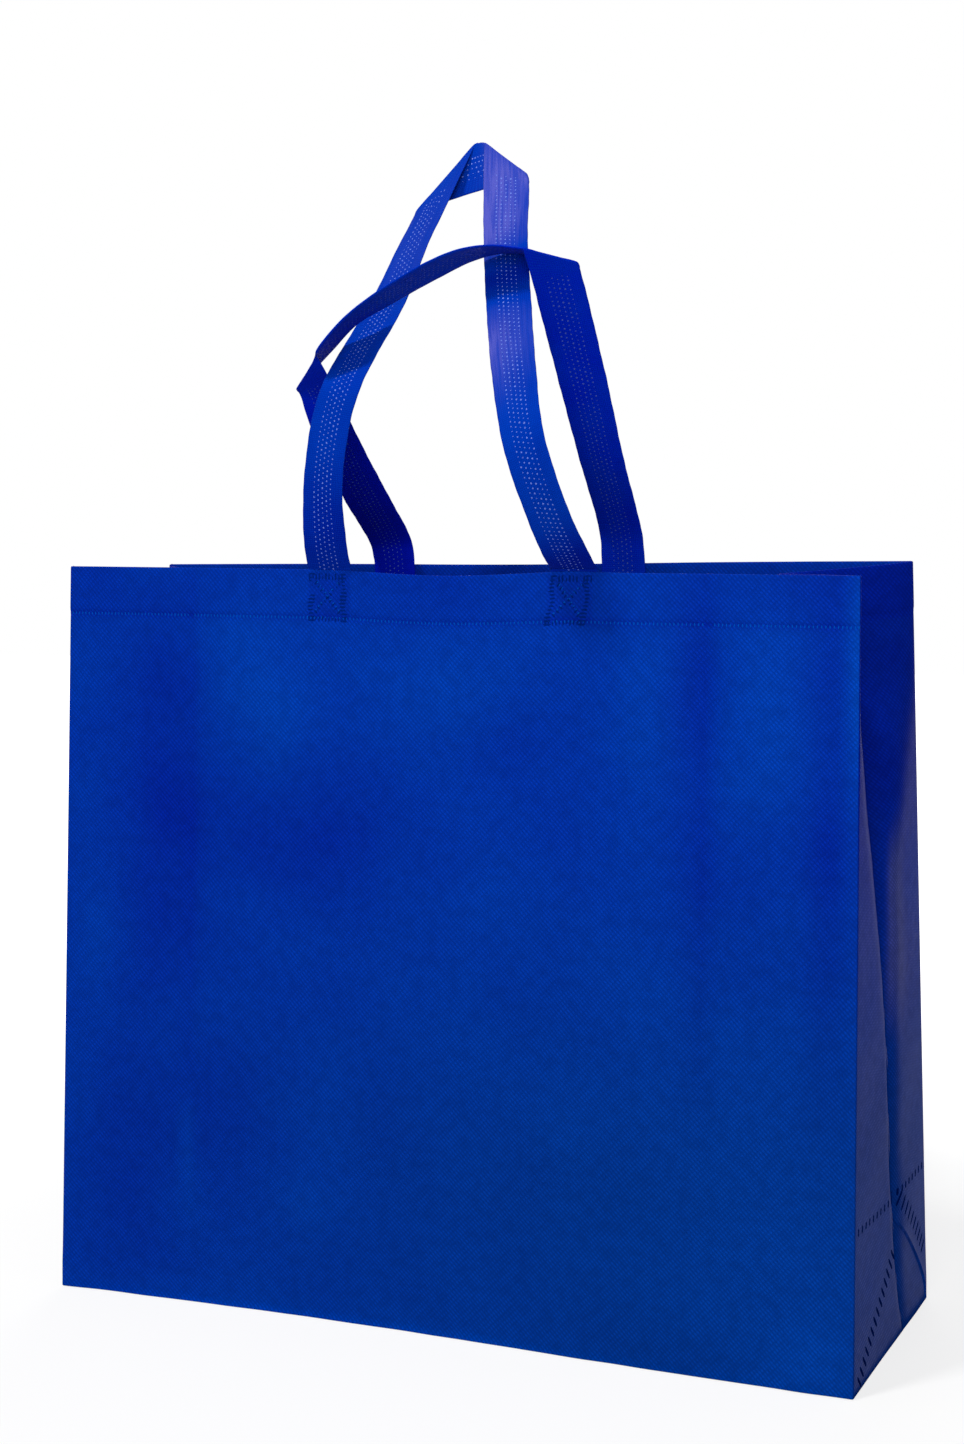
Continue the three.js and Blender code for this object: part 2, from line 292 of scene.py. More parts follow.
class BagColours(bpy.types.PropertyGroup):
    """Colours of the bag, as linear values."""

    # cloth and cloth_deep are mixed by the tone and a random mottle: cloth gives the painted
    # highlights on swellings, cloth_deep the painted shade in hollows, creases and on the gussets.
    cloth: colour("Cloth", "Colour of the cloth where it swells", (0.0, 0.046, 0.385))
    cloth_deep: colour("Cloth, deep", "Colour of the cloth in hollows", (0.0, 0.011, 0.27))
    # Painted sheen: a pale grey veil that stands in for the gloss on a gusset behind its valley.
    cloth_painted_sheen: colour("Cloth, worn", "Colour of the cloth beside a valley", (0.036, 0.05, 0.25))
    # Painted shade: the panels turn darker towards the base.
    cloth_low_shade: colour("Cloth, low", "Colour of the cloth towards the base", (0.0, 0.034, 0.25))
    strap: colour("Strap", "Colour of the straps", (0.0, 0.042, 0.405))
    strap_deep: colour("Strap, deep", "Colour of the front strap in shade", (0.0, 0.008, 0.26))
    back_strap_deep: colour(
        "Back strap, deep", "Colour of the back strap in shade", (0.0, 0.006, 0.41)
    )
    # Painted highlight: the pale lilac where the key lamp's gloss falls on a strap.
    strap_painted_highlight: colour("Strap, pale", "Colour of the strap where it is creased", (0.075, 0.085, 0.43))
    # The welds and square welds are dark partly as melted cloth and partly as painted shade of their
    # pressed grooves.
    weld: colour("Weld", "Colour of the pressed welds", (0.0, 0.008, 0.09))
    patch: colour("Weld patch", "Colour of the square welds", (0.0, 0.016, 0.18))
    hem_weld: colour("Hem weld", "Colour of the fine weld of the hem", (0.0, 0.07, 0.46))
    # The front dots are pale as a painted glint; the back dots are darker as painted shade, as the
    # back strap hangs in shade.
    dot: colour("Weld dot", "Colour of the dots on the front strap", (0.16, 0.24, 0.75))
    back_dot_shaded: colour("Back weld dot", "Colour of the dots on the back strap", (0.06, 0.1, 0.48))


class StageSettings(bpy.types.PropertyGroup):
    """Camera, lamps and floor."""

    lens: number("Lens", "Focal length for a picture 36 mm high", 59.63)
    azimuth: degrees("Azimuth", "How far the camera stands to the right of the front", 23.546)
    pitch: degrees("Pitch", "How far the camera looks down", 5.889)
    roll: degrees("Roll", "How far the camera leans", -0.731)
    place: position("Camera place", "Where the camera stands", (0.5091, -1.1667, 0.4454))
    key_power: number("Key power", "Power of the main lamp, in watts", 25)
    key_place: position("Key place", "Where the main lamp hangs", (-0.38, -0.8, 2.2))
    key_size: length("Key size", "Side of the main lamp", 0.25)
    front_power: number("Front power", "Power of the wide lamp in front, in watts", 36)
    front_place: position("Front place", "Where the wide lamp in front stands", (0.75, -2.3, 1.0))
    front_size: length("Front size", "Side of the wide lamp in front", 1.2)
    back_power: number("Back power", "Power of the wide lamp behind, in watts", 20)
    back_place: position("Back place", "Where the wide lamp behind stands", (-0.5, 2.3, 1.2))
    back_size: length("Back size", "Side of the wide lamp behind", 1.2)
    fill: number("Fill", "Strength of the even light all round", 0.3)
    floor: colour("Floor", "Colour of the floor", (0.5, 0.5, 0.5))


def ease(low, high, value):
    """0 below low, 1 above high and a soft step between."""
    t = np.clip((value - low) / (high - low), 0, 1)
    return t * t * (3 - 2 * t)


def bell(value, middle, reach):
    """A soft hump that is 1 at its middle."""
    return np.exp(-(((value - middle) / reach) ** 2))


def unit(lines):
    """Directions of length 1."""
    return lines / np.maximum(np.linalg.norm(lines, axis=-1, keepdims=True), TINY)


def bend(share, before, corner, after):
    """A point on the rounded turn from before to after, past a corner."""
    return (1 - share) ** 2 * before + 2 * share * (1 - share) * corner + share**2 * after


class BagForm:
    """Where the cloth is: a distance round the bag and a height give a point on its outside.

    The way round starts at the front left corner and goes along the front, the right gusset,
    the back and the left gusset.
    """

    LEVELS = 121
    SHARES = 401
    SAMPLES = 401
    HALVINGS = 40
    STEP = 0.2 * MM
    SOFT_SPAN = 9
    CORNER_START = 2 * MM
    RISER = 0.5 * MM
    FOOT = 0.7 * MM
    SWAY_START = (-4 * MM, 2 * MM)
    # Corner wings: soft ends at the top and the foot, heights where they lift off, reach of the lift
    WING_FADE = 8 * MM
    WING_FOOT = 4 * MM
    WING_RISE = (3 * MM, 18 * MM)
    WING_REACH = 5 * MM
    # Waves up a gusset
    WAVE_HEIGHT = 0.25 * MM
    WAVE_LENGTH = 70 * MM

    def __init__(self, sizes, straps):
        self.width = sizes.base_width
        self.depth = sizes.base_depth
        self.rim = sizes.rim_height
        self.mouth_width = sizes.base_width - sizes.mouth_tuck
        self.mouth_depth = sizes.mouth_depth
        self.dip = sizes.valley_dip
        self.cloth = sizes.cloth
        self.hem = sizes.hem
        self.radius = sizes.fold_radius
        self.rim_radius = sizes.cloth + sizes.hem_gap / 2
        self.lift = sizes.wing_lift
        self.wing_height = sizes.wing_height
        self.half = sizes.base_depth / 2
        self.turn = self.width + self.depth
        middle = self.width / 2 + straps.stagger
        self.legs = (middle - straps.spacing / 2, middle + straps.spacing / 2)
        self.weld_height = self.rim - self.hem + HEM_WELD_RISE * MM
        self.levels = np.linspace(0, self.rim, self.LEVELS)
        self.shares = np.linspace(0, 1, self.SHARES)
        heights, shifts = zip(*VALLEY_SHIFT)
        self.shift = self._soften(np.interp(self.levels / MM, heights, shifts)) * MM
        self._measure_gusset()

    def _soften(self, values):
        """Values along the height with their corners rounded."""
        span = self.SOFT_SPAN
        padded = np.pad(values, span // 2, mode="edge")
        return np.convolve(padded, np.ones(span) / span, mode="valid")

    def _measure_gusset(self):
        """Finds, at each height, the valley that uses up the cloth, and the places along it."""
        heights, *powers = zip(*GUSSET_CURVE)
        self.powers = [
            self._soften(np.interp(self.levels / self.rim, heights, power)) for power in powers
        ]
        w = np.linspace(0, 1, self.SAMPLES)
        along = 1 - (1 - w) ** 2
        low = np.zeros(self.LEVELS)
        high = np.full(self.LEVELS, self.half)
        for _ in range(self.HALVINGS):
            middle = (low + high) / 2
            run = self._gusset_run(middle, along, self.powers[0])
            short = run[:, -1] < self.half
            low = np.where(short, middle, low)
            high = np.where(short, high, middle)
        self.valley = low
        self.places = [
            np.stack(
                [np.interp(self.shares * r[-1], r, along) for r in self._gusset_run(low, along, power)]
            )
            for power in self.powers
        ]

    def _gusset_run(self, valley, along, power):
        """Distance along the cloth of half a gusset, at each height, for shares of its depth."""
        drop = valley[:, None] * along[None, :] ** power[:, None]
        deep = self.half_depth(self.levels)[:, None] * along[None, :]
        pieces = np.hypot(np.diff(deep), np.diff(drop))
        return np.concatenate([np.zeros((self.LEVELS, 1)), np.cumsum(pieces, 1)], 1)

    def half_width(self, z):
        """Half the width of the plain bag at a height."""
        return (self.width + (self.mouth_width - self.width) * z / self.rim) / 2

    def half_depth(self, z):
        """Half the depth of the plain bag at a height."""
        return (self.depth + (self.mouth_depth - self.depth) * z / self.rim) / 2

    def _gusset_place(self, share, side, z):
        """Share of the depth for a share of the cloth of half a gusset."""
        row = np.clip(z / self.rim, 0, 1) * (self.LEVELS - 1)
        col = np.clip(share, 0, 1) * (self.SHARES - 1)
        i = np.minimum(row.astype(int), self.LEVELS - 2)
        j = np.minimum(col.astype(int), self.SHARES - 2)
        f = row - i
        g = col - j
        places = []
        for p in self.places:
            near = p[i, j] * (1 - g) + p[i, j + 1] * g
            far = p[i + 1, j] * (1 - g) + p[i + 1, j + 1] * g
            places.append(near * (1 - f) + far * f)
        return np.where(side < 0, *places)

    def split(self, q):
        """Which half of the bag q is in, and how far it is along that half."""
        q = np.mod(q, 2 * self.turn)
        back = q >= self.turn
        return back, np.where(back, q - self.turn, q)

    def valley_shift(self, z):
        """How far past the middle of the gusset its valley runs at a height."""
        return np.interp(z, self.levels, self.shift)

    def gusset_part(self, t, z):
        """Share of a gusset's part, 0 at its corner and 1 in the valley, its side and width."""
        along = np.clip(t - self.width, 0, self.depth)
        valley = self.half + self.valley_shift(z)
        ahead = along < valley
        span = np.where(ahead, valley, self.depth - valley)
        share = np.where(ahead, along, self.depth - along) / span
        return share, np.where(ahead, -1, 1), span

    def sharp(self, q, z):
        """Point on the plain folded sheet, with sharp corners."""
        back, t = self.split(q)
        wide = self.half_width(z)
        deep = self.half_depth(z)
        on_panel = t < self.width
        share, side, _ = self.gusset_part(t, z)
        s = self._gusset_place(share, side, z)
        power = np.where(side < 0, *(np.interp(z, self.levels, p) for p in self.powers))
        drop = np.interp(z, self.levels, self.valley) * s**power
        x = np.where(on_panel, (2 * t / self.width - 1) * wide, wide - drop)
        y = np.where(on_panel, -deep, side * deep * (1 - s) + s * self.valley_shift(z))
        sign = np.where(back, -1, 1)
        dip = np.where(on_panel, 0, self.dip * s * (z / self.rim) ** 2)
        return np.stack([sign * x, sign * y, z - dip], -1)

    def rounded(self, q, z):
        """Point on the sheet, with its vertical folds rounded."""
        q, z = np.broadcast_arrays(np.asarray(q, float), np.asarray(z, float))
        corners = np.array([0, self.width, self.turn, self.turn + self.width, 2 * self.turn])
        loop = np.mod(q, 2 * self.turn)
        near = corners[np.abs(loop[..., None] - corners).argmin(-1)]
        away = loop - near
        r = self.radius
        share = np.clip((away + r) / (2 * r), 0, 1)[..., None]
        arc = bend(share, *(self.sharp(near + step, z) for step in (-r, 0, r)))
        return np.where((np.abs(away) < r)[..., None], arc, self.sharp(q, z))

    def outward(self, q, z):
        """Level direction square to the sheet."""
        step = self.rounded(q + self.STEP, z) - self.rounded(q - self.STEP, z)
        return unit(np.stack([step[..., 1], -step[..., 0], np.zeros(step.shape[:-1])], -1))

    def wing_width(self, z):
        """How much of the gusset behind the valley the folded wing covers, from its corner."""
        span = self.half - self.valley_shift(self.wing_height)
        wing = span * (np.maximum(z, 0) / self.wing_height) ** WING_POWER
        return np.clip(wing, self.CORNER_START, span - self.CORNER_START)

    def _panel_sway(self, x, h, swells, bow):
        """How far a panel stands out, in millimetres, at a place across and a height."""
        out = sum(a * bell(x, px, rx) * bell(h, ph, rh) for px, ph, rx, rh, a, _ in swells)
        for a, across, up, start in RIPPLES:
            out = out + a * np.sin(WHOLE_TURN * (x / across + h / up) + start)
        pressed, reach, heights = IMPRINT
        out = out - pressed * self._imprint(x, reach) * ease(*heights, h)
        height, reach, rise, places = CREASE
        out = out + rise * np.exp(-np.abs(h - height) / reach) * ease(*places, x)
        middle, reach, depth = bow
        edge = self.width / 2 / MM
        hold = ease(*EDGE_HOLD, edge - np.abs(x))
        return hold * (out - depth * bell(x, middle, reach) * np.exp(-h / BOW_HEIGHT))

    def _imprint(self, x, reach):
        """1 on the lines where the folded gussets have pressed into a panel, falling beside them."""
        from_line = np.abs(np.abs(x) - (self.width - self.depth) / 2 / MM)
        return np.exp(-from_line / reach)

    def _square(self, t, below):
        """1 where the end of a strap is welded on, and 0 elsewhere on a panel."""
        from_leg = np.min([np.abs(t - leg) for leg in self.legs], axis=0) / MM
        inside = (1 - ease(*PATCH_SIDE, from_leg)) * ease(*PATCH_START, below)
        return inside * (1 - ease(*PATCH_STOP, below))

    def _pressed(self, t, below):
        """Hollow and puckers, in millimetres, where the ends of the straps are welded on."""
        across = (t - self.width / 2) / MM
        first, second = (a * across + b * below for a, b in PUCKER_WAVES)
        pucker = np.sin(first) * np.cos(second)
        return self._square(t, below) * (PUCKER_DEPTH * pucker - PATCH_DEPTH)

    def _gusset_sway(self, share, side, span, z):
        """Behind the valley a wing stands off the base flap, which lies sunk below it."""
        past = self.wing_width(z) - share * span
        top = self.wing_height
        low = (1 - ease(top - self.WING_FADE, top, z)) * ease(0, self.WING_FOOT, z)
        flap = ease(0, self.RISER, -past)
        lift = self.lift * ease(*self.WING_RISE, z)
        raised = lift * np.exp(-np.abs(past) / self.WING_REACH) * (1 - flap)
        folded = np.where(side > 0, low * (raised - self.cloth * flap), 0)
        ripple = self.WAVE_HEIGHT * np.sin(WHOLE_TURN * z / self.WAVE_LENGTH + 2 * side)
        return folded + ripple * np.sin(math.pi * share) ** 2

    def sway(self, q, z):
        """How far the cloth stands out from the plain folded sheet."""
        back, t = self.split(q)
        x = (t - self.width / 2) / MM
        h = z / MM
        below = (self.rim - z) / MM
        front = self._panel_sway(x, h, FRONT_SWELLS, FRONT_BOW)
        rear = self._panel_sway(x, h, BACK_SWELLS, BACK_BOW)
        panel = (np.where(back, rear, front) + self._pressed(t, below)) * MM
        out = np.where(t < self.width, panel, self._gusset_sway(*self.gusset_part(t, z), z))
        edge = self.hem / MM
        weld = edge - HEM_WELD_RISE
        band = HEM_STEP * (1 - ease(weld, edge - HEM_BAND_EDGE, below))
        depth, reach = HEM_GROOVE
        return out + (band - depth * bell(below, weld, reach)) * MM

    def tone(self, q, v):
        """Painted highlights on swellings and painted shade in hollows, along pressed lines and on the
        gussets; the cloth is also darker over the welded squares and along the hem and its weld.
        """
        back, t = self.split(q)
        x = (t - self.width / 2) / MM
        h = np.minimum(v, 2 * self.rim - v) / MM
        front, rear = (
            sum(shade * bell(x, px, rx) * bell(h, ph, rh) for px, ph, rx, rh, _, shade in swells)
            for swells in (FRONT_SWELLS, BACK_SWELLS)
        )
        below = self.rim / MM - h
        edge = self.hem / MM
        panel = np.where(back, rear, front) - PATCH_TONE * self._square(t, below)
        pressed, reach, heights = IMPRINT_SHADE
        panel = panel - pressed * self._imprint(x, reach) * ease(*heights, h)
        foot, reach = FOOT_LIGHT
        panel = panel + foot * bell(h, 0, reach)
        plain, upper, heights = GUSSET_SHADE
        gusset = plain + upper * ease(*heights, h)
        hem, start = HEM_TONE
        band = hem * (1 - ease(edge - start, edge - HEM_BAND_EDGE, below))
        weld, reach = WELD_TONE
        band = band + weld * bell(below, edge - HEM_WELD_RISE, reach)
        return np.where(t < self.width, panel, gusset) - band

    def wear(self, q, v):
        """1 where a painted sheen lies on a gusset, on the part behind its valley."""
        _, t = self.split(q)
        h = v / MM
        share, side, _ = self.gusset_part(t, np.minimum(v, self.rim))
        top, fall, soft = PAINTED_SHEEN_TOP
        top = top - fall * share
        up = ease(*PAINTED_SHEEN_HEIGHTS, h) * (1 - ease(top - soft, top + soft, h))
        across = ease(*PAINTED_SHEEN_START, share) * (1 - ease(*PAINTED_SHEEN_STOP, share))
        return np.where((t >= self.width) & (side > 0), up * across, 0)

    def rim_rise(self, q, z):
        """How far the cloth near the rim is above or below its plain height."""
        back, t = self.split(q)
        x = (t - self.width / 2) / MM
        on_panel = t < self.width
        fl, fr, br, bl = RIM_CORNERS
        start = np.where(on_panel, np.where(back, br, fl), np.where(back, bl, fr))
        end = np.where(on_panel, np.where(back, bl, fr), np.where(back, fl, br))
        share = np.where(on_panel, t / self.width, (t - self.width) / self.depth)
        front, rear = (
            sum(rise * bell(x, place, reach) for place, reach, rise in rows)
            for rows in (FRONT_RIM, BACK_RIM)
        )
        along = np.where(on_panel, np.where(back, rear, front), 0)
        return (start + (end - start) * share + along) * (z / self.rim) ** RIM_POWER * MM

    def at(self, q, v):
        """Point at a distance round the bag and a distance up the sheet.

        Past the rim the sheet goes over its fold and down the inside as the hem.
        """
        q, v = np.broadcast_arrays(np.asarray(q, float), np.asarray(v, float))
        r = self.rim_radius
        straight = self.rim - r
        angle = np.clip((v - straight) / r, 0, math.pi)
        down = np.maximum(v - straight - math.pi * r, 0)
        z = np.minimum(v, straight) + r * np.sin(angle) - down
        inward = r * (1 - np.cos(angle))
        foot = np.clip(self.FOOT - v, 0, self.FOOT)
        inward = inward + self.FOOT - np.sqrt(self.FOOT**2 - foot**2)
        out = self.sway(q, z) * ease(*self.SWAY_START, v)
        point = self.rounded(q, z) + self.outward(q, z) * (out - inward)[..., None]
        point[..., 2] += self.rim_rise(q, z)
        return point

    def frame_at(self, q, v):
        """Point, direction along the way round, direction up and direction out of the cloth."""
        e = self.STEP
        point = self.at(q, v)
        along = unit(self.at(q + e, v) - self.at(q - e, v))
        out = unit(np.cross(along, self.at(q, v + e) - self.at(q, v - e)))
        return point, along, np.cross(out, along), out

    def panel_q(self, x, z, back=False):
        """Distance round the bag of a place x across the front panel, or the back one."""
        share = x / self.half_width(z) * (-1 if back else 1)
        return (share + 1) * self.width / 2 + (self.turn if back else 0)


# Fineness of the cloth's mesh
PANEL_CELLS = 92
PATCH_CELLS = 12
PATCH_REACH = 13.5 * MM
AHEAD_CELLS = 20
WING_CELLS = 11
FLAP_CELLS = 13
CORNER_CELLS = 6
ROW_STEP = 4.4 * MM
FOOT_ROWS = (0, 0.15, 0.4, 0.7, 1, 2.5)
WELD_CLEAR = 4 * MM
WELD_ROWS = (-3, -1.6, -0.8, 0, 0.8, 1.6, 3)
BAND_START = 5.5 * MM
BAND_END = 2.2 * MM
BAND_ROWS = 8
FOLD_ROWS = 8
INNER_START = 2 * MM
INNER_ROWS = 7
EVEN_SHARE = 0.3
RELAXED_WING = 0.6
WING_RELAX = 70 * MM


def cloth_rows(form):
    """Distances up the sheet of the rows of the mesh, from the base's edge to the hem's edge."""
    foot = [share * form.FOOT for share in FOOT_ROWS]
    weld = form.weld_height
    below = np.arange(ROW_STEP, weld - WELD_CLEAR, ROW_STEP)
    near = [weld + d * MM for d in WELD_ROWS]
    band = np.linspace(weld + BAND_START, form.rim - BAND_END, BAND_ROWS)
    fold = form.rim - form.rim_radius + np.linspace(0, math.pi, FOLD_ROWS) * form.rim_radius
    inner = fold[-1] + np.linspace(INNER_START, form.hem, INNER_ROWS)
    return np.concatenate([foot, below, near, band, fold, inner])


def crowded(start, end, cells):
    """Places from start to end that lie closer together near both."""
    t = np.linspace(0, 1, cells + 1)
    return start + (end - start) * (EVEN_SHARE * t + (1 - EVEN_SHARE) * ease(0, 1, t))


def corner_arc(form):
    """Distances from a corner across half of its rounded fold."""
    return np.linspace(0, form.radius, CORNER_CELLS // 2 + 1)


def ahead_columns(form, z):
    """Places across the gusset ahead of its valley, from the corner."""
    valley = form.half + form.valley_shift(z)
    return np.concatenate([corner_arc(form), crowded(form.radius, valley, AHEAD_CELLS)[1:]])


def behind_columns(form, z):
    """Places across the gusset behind its valley, from the corner; they follow the wing's edge."""
    span = form.half - form.valley_shift(z)
    full = min(form.wing_width(min(z, form.wing_height)), span - 2 * form.CORNER_START)
    relaxed = ease(form.wing_height, form.wing_height + WING_RELAX, z)
    wing = full + (RELAXED_WING * span - full) * relaxed
    top = wing + form.RISER
    return np.concatenate(
        [
            corner_arc(form),
            crowded(form.radius, wing, WING_CELLS)[1:],
            [(wing + top) / 2],
            crowded(top, span, FLAP_CELLS),
        ]
    )


def panel_columns(form):
    """Distances along a panel, closer together where the straps are welded on."""
    places = np.linspace(form.radius, form.width - form.radius, PANEL_CELLS + 1)
    for leg in form.legs:
        fine = leg + np.linspace(-PATCH_REACH, PATCH_REACH, PATCH_CELLS + 1)
        places = np.concatenate([places[np.abs(places - leg) > PATCH_REACH + MM], fine])
    return np.sort(places)


def cloth_columns(form, z):
    """Distances round the bag of the columns of the mesh at a height."""
    arc = corner_arc(form)
    front = np.concatenate([arc[:-1], panel_columns(form)[:-1], form.width - arc[:0:-1]])
    ahead = ahead_columns(form, z)
    behind = behind_columns(form, z)
    gusset = np.concatenate([ahead, form.depth - behind[-2:0:-1]])
    one = np.concatenate([front, form.width + gusset])
    return np.concatenate([one, one + form.turn])


def span_shares(values):
    """Values as shares of the way from the first to the last."""
    return (values - values[0]) / (values[-1] - values[0])


def base_grid(ring, cells):
    """Points of the base, filled in between its four edges."""
    n, m = cells
    front = ring[: n + 1]
    right = ring[n : n + m + 1]
    back = ring[n + m : 2 * n + m + 1][::-1]
    left = np.concatenate([ring[2 * n + m :], ring[:1]])[::-1]
    u = span_shares(front[:, 0] + back[:, 0])[None, :, None]
    v = span_shares(left[:, 1] + right[:, 1])[:, None, None]
    ruled = (1 - v) * front[None] + v * back[None] + (1 - u) * left[:, None] + u * right[:, None]
    corners = (
        (1 - u) * (1 - v) * front[0]
        + u * (1 - v) * front[-1]
        + (1 - u) * v * back[0]
        + u * v * back[-1]
    )
    grid = ruled - corners
    x, y = grid[..., 0] / MM, grid[..., 1] / MM
    inside = np.sin(math.pi * u[..., 0]) * np.sin(math.pi * v[..., 0])
    wave = BASE_LIFT + sum(high * np.sin(x / a + y / b) for high, a, b in BASE_WAVES)
    grid[..., 2] += np.maximum(wave, 0) * inside * MM
    return grid


def make_mesh(name, points, faces, uvs=None, smooth=True):
    """A linked mesh object; uvs holds one pair for each corner of each face."""
    mesh = bpy.data.meshes.new(name)
    mesh.from_pydata([tuple(p) for p in points], [], faces)
    if uvs is not None:
        layer = mesh.uv_layers.new(name="UVMap")
        layer.data.foreach_set("uv", np.asarray(uvs, np.float32).ravel())
    mesh.polygons.foreach_set("use_smooth", [smooth] * len(mesh.polygons))
    mesh.update()
    obj = bpy.data.objects.new(name, mesh)
    bpy.context.scene.collection.objects.link(obj)
    return obj


def ring_faces(count, rows):
    """Faces between rows of points that each close to a ring."""
    faces = []
    for start in range(0, (rows - 1) * count, count):
        for i in range(count):
            k = (i + 1) % count
            faces.append((start + i, start + k, start + count + k, start + count + i))
    return faces


def ring_uvs(across, up):
    """Flat places of the corners of those faces, from places across and up the sheet."""
    flat = np.stack(np.broadcast_arrays(across, np.asarray(up)[:, None]), -1)
    corners = (flat[:-1, :-1], flat[:-1, 1:], flat[1:, 1:], flat[1:, :-1])
    return np.stack(corners, 2).reshape(-1, 2).tolist()


def keep_values(obj, name, values):
    """Stores one number for each point of a mesh, for its material."""
    obj.data.attributes.new(name, "FLOAT", "POINT").data.foreach_set("value", values)


def cloth_mesh(form):
    """The whole sheet: walls, base and folded hem."""
    rows = cloth_rows(form)
    columns = np.stack([cloth_columns(form, min(v, form.rim)) for v in rows])
    grid = form.at(columns, rows[:, None])
    count = columns.shape[1]
    closed = np.concatenate([columns, columns[:, :1] + 2 * form.turn], 1)
    points = list(grid.reshape(-1, 3))
    faces = ring_faces(count, len(rows))
    uvs = ring_uvs(closed, rows)
    n = len(panel_columns(form)) - 1 + CORNER_CELLS
    m = count // 2 - n
    base = base_grid(grid[0], (n, m))
    edge = list(range(count))
    index = np.zeros((m + 1, n + 1), int)
    index[0] = edge[: n + 1]
    index[:, n] = edge[n : n + m + 1]
    index[m] = edge[n + m : 2 * n + m + 1][::-1]
    index[:, 0] = (edge[2 * n + m :] + edge[:1])[::-1]
    for j in range(1, m):
        for i in range(1, n):
            index[j, i] = len(points)
            points.append(base[j, i])
    flat = base[..., :2] + np.array([form.width / 2, form.depth / 2])
    for j in range(m):
        for i in range(n):
            around = ((j, i), (j + 1, i), (j + 1, i + 1), (j, i + 1))
            faces.append(tuple(int(index[a, b]) for a, b in around))
            uvs += [(flat[a, b, 0], -flat[a, b, 1]) for a, b in around]
    obj = make_mesh("bag_cloth", points, faces, uvs)
    for name, value in (("tone", form.tone), ("wear", form.wear)):
        values = np.zeros(len(points))
        values[: columns.size] = value(columns, rows[:, None]).ravel()
        keep_values(obj, name, values)
    return obj


def smooth_run(points, steps):
    """A centripetal Catmull-Rom curve through points."""
    p = np.asarray(points, float)
    first = 2 * p[0] - p[1]
    last = 2 * p[-1] - p[-2]
    all_points = np.concatenate([[first], p, [last]])
    out = []
    for k in range(len(p) - 1):
        a, b, c, d = all_points[k : k + 4]
        t0, t1, t2 = (math.sqrt(np.linalg.norm(m - n)) for m, n in ((b, a), (c, b), (d, c)))
        start = ((b - a) / t0 - (c - a) / (t0 + t1) + (c - b) / t1) * t1
        end = ((c - b) / t1 - (d - b) / (t1 + t2) + (d - c) / t2) * t1
        for w in np.arange(steps) / steps:
            h = 2 * w**3 - 3 * w**2
            curve = (w**3 - 2 * w**2 + w) * start + (w**3 - w**2) * end
            out.append((h + 1) * b + curve - h * c)
    return np.array(out + [p[-1]])


def line_run(line):
    """Distance along a line at each of its points."""
    return np.concatenate([[0], np.cumsum(np.linalg.norm(np.diff(line, axis=0), axis=1))])


def on_line(distance, run, line):
    """Places at distances along a line, given the distance at each of its points."""
    return np.stack([np.interp(distance, run, line[:, k]) for k in range(3)], -1)


